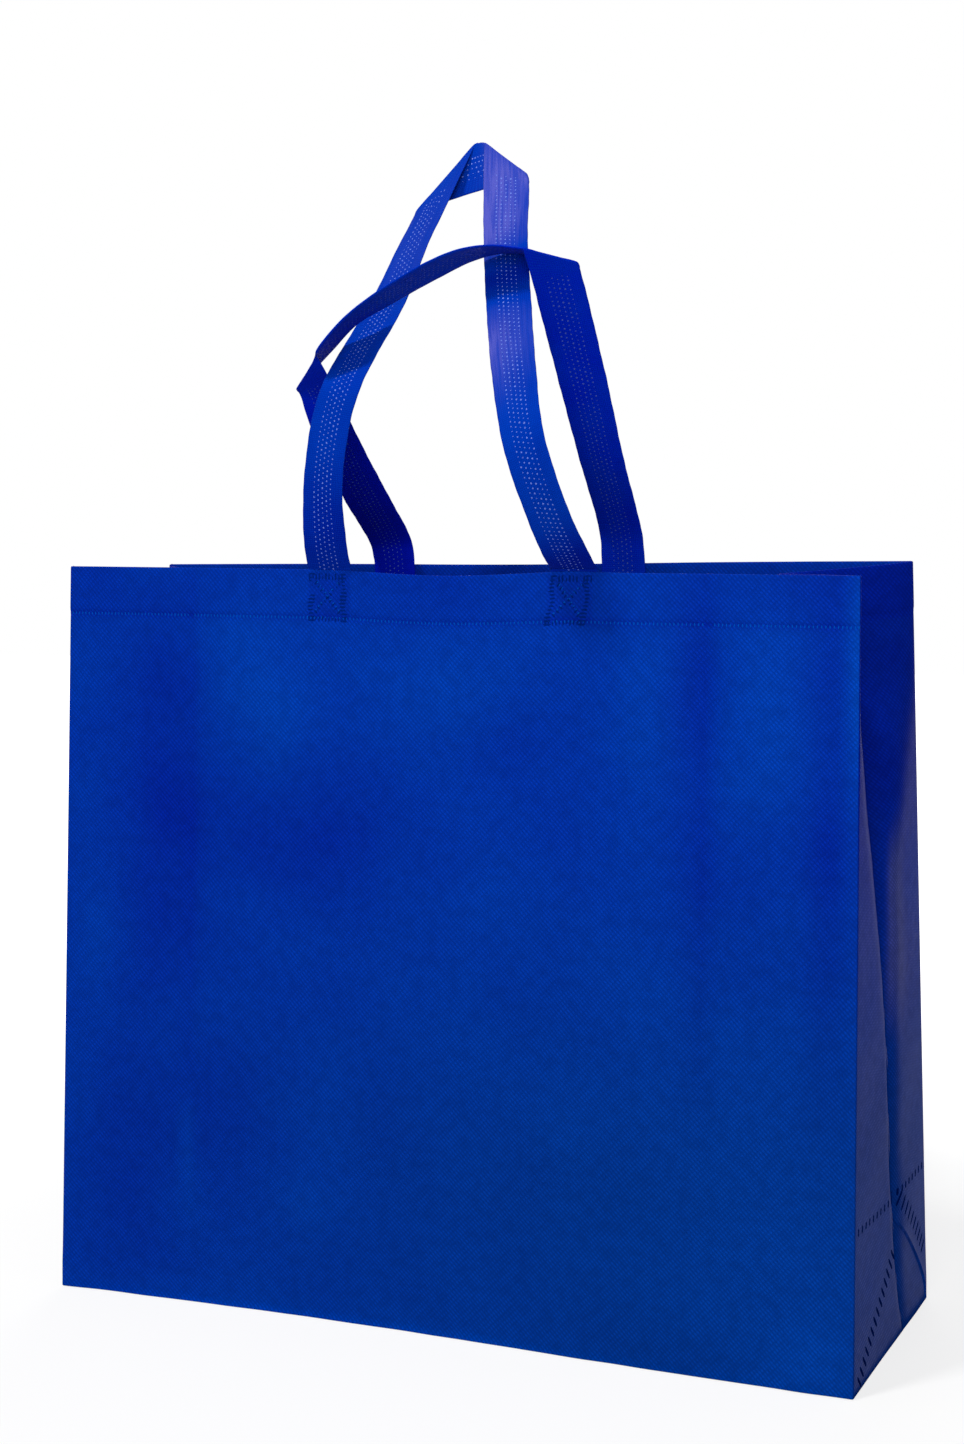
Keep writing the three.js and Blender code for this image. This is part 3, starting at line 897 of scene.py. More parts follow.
class StrapForm:
    """A flat strap that stands in a loop, given by the lines of its two edges."""

    RUN_STEPS = 7
    FOLD_STEPS = 8
    LONGEST_TRIM = 1 / 3
    SHOULDER = 0.12
    SQUEEZE = 0.2
    # Shares of the half width where the squeeze ends, and the bead beside it: height, place, reach
    SQUEEZE_EDGE = (0.45, 0.62)
    BEAD = (0.06, 0.75, 0.15)
    # Waver of the edges: share of the half width, distance of one radian, start
    WAVER = ((0.006, 3.7 * MM, 0), (0.005, 1.55 * MM, 1))

    def __init__(self, bag, straps, way, side):
        self.bag = bag
        self.straps = straps
        self.middle = -side * straps.stagger
        self.side = side
        rows = self._rows(way)
        self.left, self.right = self._edges(rows)
        self._measure()

    def _across(self, centre, turn, tilt, stretch):
        """Both ends of the line across the strap at a place on its centre line."""
        t, p = math.radians(turn), math.radians(tilt)
        line = np.array([math.cos(p) * math.cos(t), math.cos(p) * math.sin(t), math.sin(p)])
        reach = line * self.straps.width * stretch / 2
        return centre - reach, centre + reach

    def _welded_end(self, leg):
        """The straight end, flat on the inside of the panel, from its tail to over the rim."""
        bag, straps = self.bag, self.straps
        inset = 2 * bag.cloth + straps.piece_gap + straps.thickness / 2
        rows = []
        for z in (bag.rim - straps.tail, bag.rim + straps.thickness):
            x = self.middle + leg * straps.spacing / 2
            centre = np.array([x, self.side * (bag.half_depth(z) - inset), z])
            rows.append((*self._across(centre, 0 if leg < 0 else 180, 0, 1), z > bag.rim))
        return rows

    def _rows(self, way):
        """Both edges at each place of the way, and whether a run ends there."""
        straps = self.straps
        rows = self._welded_end(-1)
        for x, y, h, turn, tilt, stretch, *fold in way:
            centre = np.array(
                [
                    self.middle + x / PERCENT * straps.spacing / 2,
                    y / PERCENT * self.bag.mouth_depth / 2,
                    self.bag.rim + h / PERCENT * straps.rise,
                ]
            )
            rows.append((*self._across(centre, turn, tilt, stretch), bool(fold)))
        return rows + self._welded_end(1)[::-1]

    def _edges(self, rows):
        """Both edges as smooth runs, joined by rounded folds."""
        runs = []
        run = []
        for k, (left, right, ends) in enumerate(rows):
            run.append((left, right))
            if k and (ends or k == len(rows) - 1):
                runs.append([smooth_run([r[i] for r in run], self.RUN_STEPS) for i in (0, 1)])
                run = [(left, right)]
        edges = []
        for i in (0, 1):
            line = []
            self.joins = []
            for k, pair in enumerate(runs):
                edge = pair[i]
                own = line_run(edge)
                total = own[-1]
                trim = min(self.straps.fold_trim, total * self.LONGEST_TRIM)
                start = trim if k else 0
                end = total - (trim if k < len(runs) - 1 else 0)
                if k:
                    self.joins.append(len(line) + self.FOLD_STEPS // 2)
                    turn = (line[-1], edge[0], on_line(start, own, edge))
                    shares = np.arange(1, self.FOLD_STEPS) / self.FOLD_STEPS
                    line += [bend(share, *turn) for share in shares]
                line += list(on_line(start + own / total * (end - start), own, edge))
            edges.append(np.array(line))
        return edges

    def _measure(self):
        """Distances along the strap, of its folds too, and the way out of its face."""
        centre = (self.left + self.right) / 2
        self.run = line_run(centre)
        self.out = unit(np.cross(self.right - self.left, np.gradient(centre, axis=0)))
        self.length = self.run[-1]
        self.folds = self.run[self.joins[1:-1]]

    def thickness(self, share):
        """Half the thickness at a share of the half width: squeezed by the welds in the middle."""
        s = np.abs(share)
        height, place, reach = self.BEAD
        squeezed = self.SQUEEZE * (1 - ease(*self.SQUEEZE_EDGE, s))
        body = 1 - squeezed + height * bell(s, place, reach)
        over = np.clip((s - 1 + self.SHOULDER) / self.SHOULDER, 0, 1)
        edge = np.sqrt(np.clip(1 - over**2, 0, 1))
        return self.straps.thickness / 2 * body * edge

    def at(self, run, share, face):
        """Point on a face (1 or -1) at a distance along and a share of the half width."""
        run = np.asarray(run, float)
        left, right, out = (on_line(run, self.run, line) for line in (self.left, self.right, self.out))
        out = unit(out)
        share = np.asarray(share, float)[..., None]
        uneven = sum(size * np.sin(run / wave + start) for size, wave, start in self.WAVER)
        lie = (left + right) / 2 + (right - left) / 2 * share * (1 + uneven[..., None])
        return lie + out * face * self.thickness(share), out * face, right - left


# Painted highlights and painted shade along each strap: share of its length, reach, strength
# (above 0 paler, below 0 darker), lean to one edge
FRONT_STRAP_LIGHT = (
    (0.08, 0.07, -0.38, 0),
    (0.38, 0.05, 0.12, 0),
    (0.528, 0.026, 0.8, 0.1),
    (0.578, 0.032, 0.75, 0.7),
    (0.642, 0.024, -0.4, 0),
    (0.714, 0.038, 0.45, 0.7),
    (0.94, 0.05, -0.4, 0),
)
BACK_STRAP_LIGHT = ((0.5, 2.0, -0.35, 0), (0.12, 0.13, -0.3, 0), (0.47, 0.09, 0.25, 0))
STRAP_SHARES = (0, 0.2, 0.4, 0.5, 0.6, 0.7, 0.8, 0.88, 0.92, 0.96, 0.985)
STRAP_ROW = 2.2 * MM
STRAP_ROW_CLEAR = 0.15 * MM


def strap_mesh(name, form, light_and_shade):
    """A strap as a closed ribbon with soft edges."""
    runs = np.unique(np.concatenate([form.run, np.arange(0, form.length, STRAP_ROW)]))
    keep = np.concatenate([[True], np.diff(runs) > STRAP_ROW_CLEAR])
    runs = runs[keep]
    half = np.array(STRAP_SHARES)
    face = np.concatenate([-half[:0:-1], half])
    shares = np.concatenate([[-1], face, [1], face[::-1]])
    faces_of = np.concatenate([[1], np.ones(len(face)), [1], -np.ones(len(face))])
    grid = np.stack([form.at(runs, np.full(len(runs), s), f)[0] for s, f in zip(shares, faces_of)], 1)
    count = len(shares)
    across = np.concatenate([[0], np.cumsum(np.abs(np.diff(shares)))]) * form.straps.width / 2
    across = np.concatenate([across, [2 * form.straps.width]])
    faces = ring_faces(count, len(runs))
    uvs = ring_uvs(across, runs)
    for j, order in ((0, -1), (len(runs) - 1, 1)):
        ring = [j * count + i for i in range(count)][::order]
        faces.append(tuple(ring))
        uvs += [(across[v - j * count], runs[j]) for v in ring]
    obj = make_mesh(name, grid.reshape(-1, 3), faces, uvs)
    # Painted highlights and painted shade along the strap, kept as its tone.
    share = np.repeat(runs / form.length, count)
    aside = np.tile(shares, len(runs))
    tone = sum(s * bell(share, place, reach) * (1 + lean * aside) for place, reach, s, lean in light_and_shade)
    keep_values(obj, "tone", tone)
    return obj


# A pressed weld mark, seen from above as a long lozenge: shares of half its length and width.
MARK_OUTLINE = ((-1, 0), (-0.6, -1), (0.6, -1), (1, 0), (0.6, 1), (-0.6, 1))
MARK_TOP = 0.6
MARK_RISE = 0.1 * MM
MARK_ROOT = 0.25 * MM


def mark_mesh(name, places):
    """Weld marks from arrays of points, long ways, short ways and ways out."""
    point, along, over, out = places
    outline = np.array(MARK_OUTLINE)
    sides = len(outline)
    rings = []
    for scale, lift in ((1, -MARK_ROOT), (1, 0), (MARK_TOP, MARK_RISE)):
        flat = along[:, None] * outline[None, :, :1] + over[:, None] * outline[None, :, 1:]
        rings.append(point[:, None] + scale * flat + lift * out[:, None])
    points = np.concatenate(rings, 1)
    count = points.shape[1]
    root, top = tuple(range(sides))[::-1], tuple(range(count - sides, count))
    pattern = [root, top, *ring_faces(sides, len(rings))]
    faces = [
        tuple(start + i for i in face)
        for start in range(0, len(points) * count, count)
        for face in pattern
    ]
    return make_mesh(name, points.reshape(-1, 3), faces, smooth=False)


def cloth_marks(form, rows):
    """Places of marks on the cloth.

    Each row is a distance round the bag, a distance up, the angle of the mark's long way from
    the way round, and the mark's length and width.
    """
    q, v, angle, long_size, short_size = np.array(rows, float).T
    point, along, up, out = form.frame_at(q, v)
    long_way = np.cos(angle)[:, None] * along + np.sin(angle)[:, None] * up
    short_way = np.cross(out, long_way)
    return point, long_way * long_size[:, None] / 2, short_way * short_size[:, None] / 2, out


# Welds on the cloth: length and width of a mark, and the distance between marks
UPRIGHT = math.pi / 2
SLANTING = math.pi / 4
HEM_MARK = (2.3 * MM, 0.75 * MM)
HEM_PITCH = 2.1 * MM
PATCH_MARK = (4.4 * MM, 1.0 * MM)
PATCH_PITCH = 1.9 * MM
PATCH_TOP = 1.4 * MM
PATCH_LEAN = 0.16
CROSS_MARK = (2.6 * MM, 0.9 * MM)
SPECK_MARK = (1.3 * MM, 0.7 * MM)
SPECK_RISE = 1 * MM
CROSS_REACH = 0.58
CROSS_COUNT = 9
# Corner welds: a row of slanting bars over the base flap, and a ladder along each diagonal
ROW_MARK = (4.4 * MM, 2.4 * MM)
ROW_PITCH = 7.4 * MM
ROW_RISE = 2.2 * MM
ROW_FALL = 4.6 * MM
ROW_LEAN = math.radians(82)
ROW_VALLEY = 5 * MM
ROW_END = 7 * MM
ROW_LEVEL = 0.7
RUNG_MARK = (11 * MM, 2 * MM)
RUNG_PITCH = 6 * MM
LADDER_FOOT = 3.5 * MM
LADDER_START = 11 * MM
LADDER_SLOPE = 0.66
LADDER_RUN = 0.83
LADDER_LEAN = math.radians(-44)
LADDER_END = 1 * MM
WING_LADDER_RISE = 15 * MM
WING_LADDER = (32 * MM, 76 * MM)
WING_RUN = 0.75
WING_LEAN = math.radians(34)


def hem_places(form):
    """The fine weld along the lower edge of the hem, on both panels."""
    count = round(2 * form.turn / HEM_PITCH)
    places = np.arange(count) / count * 2 * form.turn
    places = places[form.split(places)[1] < form.width]
    return cloth_marks(form, [(q, form.weld_height, UPRIGHT, *HEM_MARK) for q in places])


def border_marks(straps):
    """Short bars round the weld of a strap and along its cross: place, angle and size."""
    wide, high = straps.patch / 2, straps.patch_height / 2
    bar = PATCH_MARK[0] / 2
    marks = []
    for step in span_places(wide, PATCH_PITCH):
        marks += [(step, end, UPRIGHT, *PATCH_MARK) for end in (bar - high, high - bar)]
    for step in span_places(high, PATCH_PITCH):
        marks += [(end, step, 0, *PATCH_MARK) for end in (bar - wide, wide - bar)]
    for step in np.linspace(-CROSS_REACH, CROSS_REACH, CROSS_COUNT):
        for way in (-1, 1):
            angle = UPRIGHT + way * SLANTING
            marks.append((step * wide, way * step * high, angle, *CROSS_MARK))
    return marks


def speck_marks(straps):
    """Pale specks between the bars of the cross."""
    wide, high = straps.patch / 2, straps.patch_height / 2
    marks = []
    for k, step in enumerate(np.linspace(-CROSS_REACH, CROSS_REACH, 2 * CROSS_COUNT)):
        way = (-1) ** k
        marks.append((step * wide, way * step * high + SPECK_RISE, SLANTING, *SPECK_MARK))
    return marks


def span_places(half, pitch):
    """Places from -half to half, about one pitch apart."""
    count = round(2 * half / pitch)
    return ((np.arange(count) + 0.5) / count * 2 - 1) * half


def patch_places(form, straps, marks):
    """The marks of the welds of all four strap ends."""
    middle = form.rim - PATCH_TOP - straps.patch_height / 2
    rows = []
    for back in (False, True):
        stagger = -straps.stagger if back else straps.stagger
        for leg in (-1, 1):
            x = stagger + leg * straps.spacing / 2
            lean = PATCH_LEAN if leg > 0 and not back else 0
            for dx, dz, *rest in marks:
                across = x + dx + lean * (dz - straps.patch_height / 2)
                rows.append((form.panel_q(across, middle + dz, back), middle + dz, *rest))
    return cloth_marks(form, rows)


def ladder_rows(form):
    """Rungs across both diagonals of a gusset, as places from its front corner."""
    rows = []
    for a in np.arange(LADDER_START, form.half - LADDER_END, RUNG_PITCH * LADDER_RUN):
        rows.append((a, LADDER_SLOPE * (a - LADDER_FOOT), LADDER_LEAN))
    for z in np.arange(*WING_LADDER, RUNG_PITCH * WING_RUN):
        rows.append((form.depth - form.wing_width(z - WING_LADDER_RISE), z, WING_LEAN))
    return rows


def corner_places(form):
    """The welds that close each gusset above the base flap and along both of its diagonals."""
    rows = []
    across = np.arange(ROW_END, form.depth - ROW_END, ROW_PITCH)
    for start in (form.width, form.turn + form.width):
        for a in across[np.abs(across - form.half - ROW_VALLEY) > ROW_PITCH / 2]:
            fall = ROW_FALL * min(a / form.half, ROW_LEVEL)
            rows.append((start + a, form.half + ROW_RISE - fall, ROW_LEAN, *ROW_MARK))
        rows += [(start + a, z, angle, *RUNG_MARK) for a, z, angle in ladder_rows(form)]
    return cloth_marks(form, rows)


# Weld dots on the straps; they leave off a little way from a fold
DOT_COLUMNS = 5
DOT_CLEAR = 11 * MM
DOT_SIDES = 6
DOT_RISE = 0.08 * MM
DOT_SEED = 7
DOT_SPREAD = (0.55, 1.1)


def dot_places(form):
    """Rows of weld dots down the middle of both faces of a strap."""
    straps = form.straps
    half = straps.width / 2
    pitch = straps.dot_pitch
    columns = (np.arange(DOT_COLUMNS) - DOT_COLUMNS // 2) * pitch
    runs = np.arange(pitch, form.length - pitch / 2, pitch)
    places = []
    for k, across in enumerate(columns):
        shifted = runs + (k % 2) * pitch / 2 - pitch / 4
        clear = [np.all(np.abs(run - form.folds) > DOT_CLEAR) for run in shifted]
        shifted = shifted[clear]
        for face in (-1, 1):
            point, out, over = form.at(shifted, np.full(len(shifted), across / half), face)
            places += list(zip(point, out, over))
    return places


def dot_mesh(name, places, size):
    """Weld dots as low closed lenses."""
    points = []
    faces = []
    chance = np.random.default_rng(DOT_SEED)
    for point, out, over in places:
        start = len(points)
        reach = size / 2 * chance.uniform(*DOT_SPREAD)
        a = unit(over)
        b = np.cross(out, a)
        for k in range(DOT_SIDES):
            turn = WHOLE_TURN * k / DOT_SIDES
            points.append(point + reach * (math.cos(turn) * a + math.sin(turn) * b))
        points += [point + DOT_RISE * out, point - DOT_RISE * out]
        for k in range(DOT_SIDES):
            n = (k + 1) % DOT_SIDES
            faces.append((start + k, start + n, start + DOT_SIDES))
            faces.append((start + n, start + k, start + DOT_SIDES + 1))
    return make_mesh(name, points, faces, smooth=False)


class Nodes:
    """The node tree of a material or a world, with short ways to add to it."""

    def __init__(self, owner):
        owner.use_nodes = True
        self.owner = owner
        self.tree = owner.node_tree

    def put(self, socket, value):
        """Links an output to a socket, or sets the socket to a plain value."""
        if isinstance(value, bpy.types.NodeSocket):
            self.tree.links.new(value, socket)
        else:
            socket.default_value = value

    def add(self, kind, inputs=None, **settings):
        """A new node with its settings and its inputs."""
        node = self.tree.nodes.new(kind)
        for key, value in settings.items():
            setattr(node, key, value)
        for key, value in (inputs or {}).items():
            self.put(node.inputs[key], value)
        return node

    def math(self, operation, a, b):
        return self.add("ShaderNodeMath", {0: a, 1: b}, operation=operation).outputs[0]

    def times(self, a, b):
        return self.math("MULTIPLY", a, b)

    def plus(self, a, b):
        return self.math("ADD", a, b)

    def range(self, value, low, high):
        """A value from 0 to 1 taken to the range from low to high."""
        node = self.add("ShaderNodeMapRange", {"Value": value, "To Min": low, "To Max": high})
        return node.outputs["Result"]

    def between(self, value, start, end, low, high):
        """A soft step from low, where value is start, to high, where it is end."""
        node = self.add(
            "ShaderNodeMapRange",
            {"Value": value, "From Min": start, "From Max": end, "To Min": low, "To Max": high},
            interpolation_type="SMOOTHSTEP",
        )
        return node.outputs["Result"]

    def mix(self, factor, a, b, blend="MIX"):
        """Two colours mixed."""
        node = self.add("ShaderNodeMix", data_type="RGBA", blend_type=blend)
        for name, value in (("Factor", factor), ("A", a), ("B", b)):
            self.put(node.inputs[name], value)
        return next(socket for socket in node.outputs if socket.type == "RGBA")

    def attribute(self, name):
        return self.add("ShaderNodeAttribute", attribute_name=name).outputs["Fac"]

    def uv(self, scale=(1, 1, 1)):
        """Places on the flat sheet, in metres."""
        source = self.add("ShaderNodeTexCoord").outputs["UV"]
        return self.add("ShaderNodeMapping", {"Vector": source, "Scale": scale}).outputs[0]

    def noise(self, vector, scale, detail):
        node = self.add("ShaderNodeTexNoise", {"Vector": vector, "Scale": scale, "Detail": detail})
        return node.outputs[0]

    def bands(self, vector, pitch, direction):
        """Even stripes at a pitch, square to an axis or slantwise."""
        radians = STRAIGHT_WAVES if direction in ("X", "Y") else SLANTING_WAVES
        inputs = {"Vector": vector, "Scale": WHOLE_TURN / (radians * pitch)}
        return self.add("ShaderNodeTexWave", inputs, bands_direction=direction).outputs["Fac"]

    def bump(self, strength, distance, height):
        inputs = {"Strength": strength, "Distance": distance, "Height": height}
        return self.add("ShaderNodeBump", inputs).outputs[0]

    def finish(self, shader="Principled BSDF", **sockets):
        """Fills in the sockets of the shader."""
        for name, value in sockets.items():
            self.put(self.tree.nodes[shader].inputs[name.replace("_", " ")], value)
        return self.owner


def rgba(value):
    return (*value, 1.0)


# Radians that a wave texture turns over one unit, at a scale of 1
STRAIGHT_WAVES = 20
SLANTING_WAVES = 10

# Cloth: pitch of the pressed hatch and of its breaks, then each noise as scale and detail.
HATCH_PITCH = 2.35 * MM
HATCH_BREAK = 3.4 * MM
PATCHES = (150, 5)
FIBRES = (1500, 3)
FIBRE_SCALE = (1.0, 0.45, 1.0)
MOTTLE = (14, 4)
# Ranges are low and high. Steps are where they start and end, and the values there.
BREAK_RANGE = (0.35, 1.0)
PATCH_STEP = (0.3, 0.65, 0.55, 1.3)
MOTTLE_RANGE = (0.2, 0.8)
TONE_WEIGHT = 0.5
DASH_RELIEF = 0.65
FIBRE_RELIEF = 0.5
CLOTH_BUMP = (0.3, 0.25 * MM)
LOW_STEP = (0.29, 0.08, 0.0, 0.9)
LOW_ACROSS_STEP = (0.03, 0.36, 0.2, 1.0)
LOW_SHADES = (0.72, 1.26)
PAINTED_SHEEN_FACING = (0.05, 0.35, 0.0, 1.0)
DASH_GRAIN = (0.75, 1.17)
FIBRE_GRAIN = (-0.2, 0.2)
PATCH_GRAIN = (-0.06, 0.06)
GRAZING_STEP = (0.81, 0.9, 1.0, 0.0)
FOOT_STEP = (0.001, 0.006, 0.0, 1.0)
CLOTH_ROUGHNESS = (0.7, 0.55)
CLOTH_GLOSS = 0.0125
CLOTH_SHEEN = 0.42


def cloth_material(colours):
    """Non-woven cloth: pressed slanting hatch, loose fibres and soft mottling, with painted light and
    shade from its tone, painted shade towards the base and a painted sheen on the gussets.
    """
    n = Nodes(bpy.data.materials.new("cloth"))
    plain = n.uv()
    hatch = n.bands(plain, HATCH_PITCH, "DIAGONAL")
    breaks = n.bands(n.uv((1, -1, 1)), HATCH_BREAK, "DIAGONAL")
    patchy = n.noise(plain, *PATCHES)
    dashes = n.times(hatch, n.range(breaks, *BREAK_RANGE))
    dashes = n.times(dashes, n.between(patchy, *PATCH_STEP))
    fibres = n.noise(n.uv(FIBRE_SCALE), *FIBRES)
    mottle = n.noise(plain, *MOTTLE)
    height = n.plus(n.times(dashes, DASH_RELIEF), n.times(fibres, FIBRE_RELIEF))
    facing = n.add("ShaderNodeLayerWeight", {"Blend": 0.5}).outputs["Facing"]
    # The tone carries the painted highlights and painted shade; the mottle is the cloth's own uneven
    # tone.
    light = n.plus(n.times(n.attribute("tone"), TONE_WEIGHT), n.range(mottle, *MOTTLE_RANGE))
    ground = n.mix(light, rgba(colours.cloth_deep), rgba(colours.cloth))
    along, up, _ = n.add("ShaderNodeSeparateXYZ", {"Vector": plain}).outputs
    # Painted shade towards the base of the panels, in a dim and a bright copy that follow the tone.
    lower = n.times(n.between(up, *LOW_STEP), n.between(along, *LOW_ACROSS_STEP))
    dim, bright = (rgba([part * c for c in colours.cloth_low_shade]) for part in LOW_SHADES)
    ground = n.mix(lower, ground, n.mix(light, dim, bright))
    # Painted sheen on the gusset, stronger at grazing angles.
    painted_sheen = n.times(n.attribute("wear"), n.between(facing, *PAINTED_SHEEN_FACING))
    ground = n.mix(painted_sheen, ground, rgba(colours.cloth_painted_sheen))
    grain = n.plus(n.range(dashes, *DASH_GRAIN), n.range(fibres, *FIBRE_GRAIN))
    grain = n.plus(grain, n.range(patchy, *PATCH_GRAIN))
    gloss = n.times(n.between(facing, *GRAZING_STEP), n.between(up, *FOOT_STEP))
    return n.finish(
        Base_Color=n.mix(1.0, ground, grain, "MULTIPLY"),
        Roughness=n.range(dashes, *CLOTH_ROUGHNESS),
        Normal=n.bump(*CLOTH_BUMP, height),
        Specular_IOR_Level=n.times(gloss, CLOTH_GLOSS),
        Sheen_Weight=n.times(gloss, CLOTH_SHEEN),
        Sheen_Roughness=0.2,
        Sheen_Tint=(0.75, 0.72, 1.0, 1.0),
    )


# Straps: pitch of the weave, noises, ranges and steps as for the cloth.
WEAVE_PITCH = 1.1 * MM
STRAP_FIBRES = (1300, 2)
STRAP_MOTTLE = (30, 2)
RIBS = (620, 2)
RIB_SCALE = (1.0, 0.06, 1.0)
RIB_STEP = (0.3, 0.7, 0.5, 1.5)
WEAVE_WEIGHT = 0.5
SHADE_STEP = (-1, 0, -1.4, 0)
HIGHLIGHT_FIBRES = (0.5, 1.2)
STRAP_BUMP = (0.35, 0.2 * MM)
STRAP_ROUGHNESS = (0.65, 0.5)


def strap_material(name, plain_colour, deep_colour, highlight_colour):
    """Strap: a fine cross hatch over folded cloth, with painted shade from its tone and a pale painted
    highlight, broken into ribs.
    """
    n = Nodes(bpy.data.materials.new(name))
    plain = n.uv()
    weave = n.times(n.bands(plain, WEAVE_PITCH, "X"), n.bands(plain, WEAVE_PITCH, "Y"))
    fibres = n.noise(plain, *STRAP_FIBRES)
    mottle = n.noise(plain, *STRAP_MOTTLE)
    height = n.plus(weave, n.times(fibres, FIBRE_RELIEF))
    tone = n.attribute("tone")
    fine = n.plus(n.times(weave, WEAVE_WEIGHT), n.range(mottle, *MOTTLE_RANGE))
    fine = n.plus(fine, n.between(tone, *SHADE_STEP))
    ground = n.mix(fine, rgba(deep_colour), rgba(plain_colour))
    ribs = n.noise(n.uv(RIB_SCALE), *RIBS)
    # Painted highlight where the tone is above 0, broken up by fibres and ribs.
    painted_highlight = n.times(tone, n.range(fibres, *HIGHLIGHT_FIBRES))
    painted_highlight = n.times(painted_highlight, n.between(ribs, *RIB_STEP))
    return n.finish(
        Base_Color=n.mix(painted_highlight, ground, rgba(highlight_colour)),
        Roughness=n.range(weave, *STRAP_ROUGHNESS),
        Normal=n.bump(*STRAP_BUMP, height),
        Specular_IOR_Level=0.006,
        Sheen_Weight=0.03,
        Sheen_Roughness=0.3,
        Sheen_Tint=(0.8, 0.7, 1.0, 1.0),
    )


WELD_GRAIN = (700, 2)
WELD_DARK = 0.6
WELD_BUMP = (0.2, 0.1 * MM)
WELD_ROUGHNESS = (0.3, 0.55)


def weld_material(name, value):
    """Cloth melted by a weld: smoother, without gloss and slightly uneven."""
    n = Nodes(bpy.data.materials.new(name))
    grain = n.noise(n.add("ShaderNodeTexCoord").outputs["Object"], *WELD_GRAIN)
    dark = tuple(WELD_DARK * c for c in value)
    return n.finish(
        Base_Color=n.mix(grain, rgba(dark), rgba(value)),
        Roughness=n.range(grain, *WELD_ROUGHNESS),
        Normal=n.bump(*WELD_BUMP, grain),
        Specular_IOR_Level=0.0,
    )


def dress(obj, material):
    """Gives a piece its material and its body."""
    obj.data.materials.append(material)
    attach(obj, "root")
    return obj


class BAG_OT_body(bpy.types.Operator):
    """Build the folded sheet with its base, gussets and hem"""

    bl_idname = "bag.body"
    bl_label = "Cloth body"

    def execute(self, context):
        sizes = context.scene.bag_sizes
        form = BagForm(sizes, context.scene.bag_straps)
        obj = cloth_mesh(form)
        thick = obj.modifiers.new("cloth thickness", "SOLIDIFY")
        thick.thickness = sizes.cloth
        thick.offset = -1
        dress(obj, cloth_material(context.scene.bag_colours))
        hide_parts("bag_body")
        return {"FINISHED"}


class BAG_OT_welds(bpy.types.Operator):
    """Press the welds into the hem, the strap ends and the bottom corners"""

    bl_idname = "bag.welds"
    bl_label = "Cloth welds"

    def execute(self, context):
        scene = context.scene
        sizes, straps, colours = scene.bag_sizes, scene.bag_straps, scene.bag_colours
        form = BagForm(sizes, straps)
        fine = weld_material("hem_weld", colours.hem_weld)
        deep = weld_material("weld", colours.weld)
        square = weld_material("patch_weld", colours.patch)
        welds = (
            ("hem_weld", hem_places(form), fine),
            ("strap_patches", patch_places(form, straps, border_marks(straps)), square),
            ("strap_specks", patch_places(form, straps, speck_marks(straps)), fine),
            ("corner_welds", corner_places(form), deep),
        )
        pieces = [dress(mark_mesh(name, places), look) for name, places, look in welds]
        return {"FINISHED"}


class BAG_OT_straps(bpy.types.Operator):
    """Build both strap handles with their rows of weld dots"""

    bl_idname = "bag.straps"
    bl_label = "Strap handles"

    def execute(self, context):
        scene = context.scene
        straps, colours = scene.bag_straps, scene.bag_colours
        bag = BagForm(scene.bag_sizes, straps)
        loops = (
            ("front", FRONT_WAY, FRONT_STRAP_LIGHT, colours.strap_deep, colours.dot, -1),
            ("back", BACK_WAY, BACK_STRAP_LIGHT, colours.back_strap_deep, colours.back_dot_shaded, 1),
        )
        for name, way, light_and_shade, deep, dot, side in loops:
            form = StrapForm(bag, straps, way, side)
            cloth = strap_material(name + "_strap", colours.strap, deep, colours.strap_painted_highlight)
            obj = dress(strap_mesh(name + "_strap", form, light_and_shade), cloth)
            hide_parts(name + "_handle")
            spots = dot_mesh(name + "_strap_dots", dot_places(form), straps.dot_size)
            dress(spots, weld_material(name + "_strap_dot", dot))
        return {"FINISHED"}


FLOOR_REACH = 4.0
FLOOR_DROP = 0.3 * MM
FLOOR_FADE = (0.3, 0.9, 0.5, 1.0)
FLOOR_GLOW = 1.5
WHITE = (1.0, 1.0, 1.0, 1.0)


def seen_directly(n):
    """Node output that is 1 for rays from the camera, a gloss or a clear piece."""
    path = n.add("ShaderNodeLightPath").outputs
    straight = n.math("MAXIMUM", path["Is Camera Ray"], path["Is Glossy Ray"])
    return n.math("MAXIMUM", straight, path["Is Transmission Ray"])


def floor_material(tone):
    """Pale floor that takes shadows, and fades to the white background further out."""
    n = Nodes(bpy.data.materials.new("floor"))
    n.tree.nodes.clear()
    place = n.add("ShaderNodeTexCoord").outputs["Object"]
    distance = n.add("ShaderNodeVectorMath", {0: place}, operation="LENGTH").outputs["Value"]
    share = n.times(n.between(distance, *FLOOR_FADE), seen_directly(n))
    matt = n.add("ShaderNodeBsdfDiffuse", {"Color": rgba(tone)}).outputs[0]
    white = n.add("ShaderNodeEmission", {"Strength": FLOOR_GLOW}).outputs[0]
    both = n.add("ShaderNodeMixShader", {0: share, 1: matt, 2: white}).outputs[0]
    n.add("ShaderNodeOutputMaterial", {"Surface": both})
    return n.owner


def light_world(world, fill):
    """White to the camera, and an even soft fill on the bag."""
    n = Nodes(world)
    n.finish("Background", Color=WHITE, Strength=n.range(seen_directly(n), fill, 1.0))


LAMPS = ("key", "front", "back")
LAMP_TARGET = Vector((0, 0, 0.3))
SENSOR = 36


def add_lamp(scene, name, power, place, size):
    """A square lamp that faces the bag."""
    lamp = bpy.data.lights.new(name, "AREA")
    lamp.energy = power
    lamp.size = size
    obj = bpy.data.objects.new(name, lamp)
    obj.location = place
    obj.rotation_euler = (LAMP_TARGET - Vector(place)).to_track_quat("-Z", "Y").to_euler()
    scene.collection.objects.link(obj)


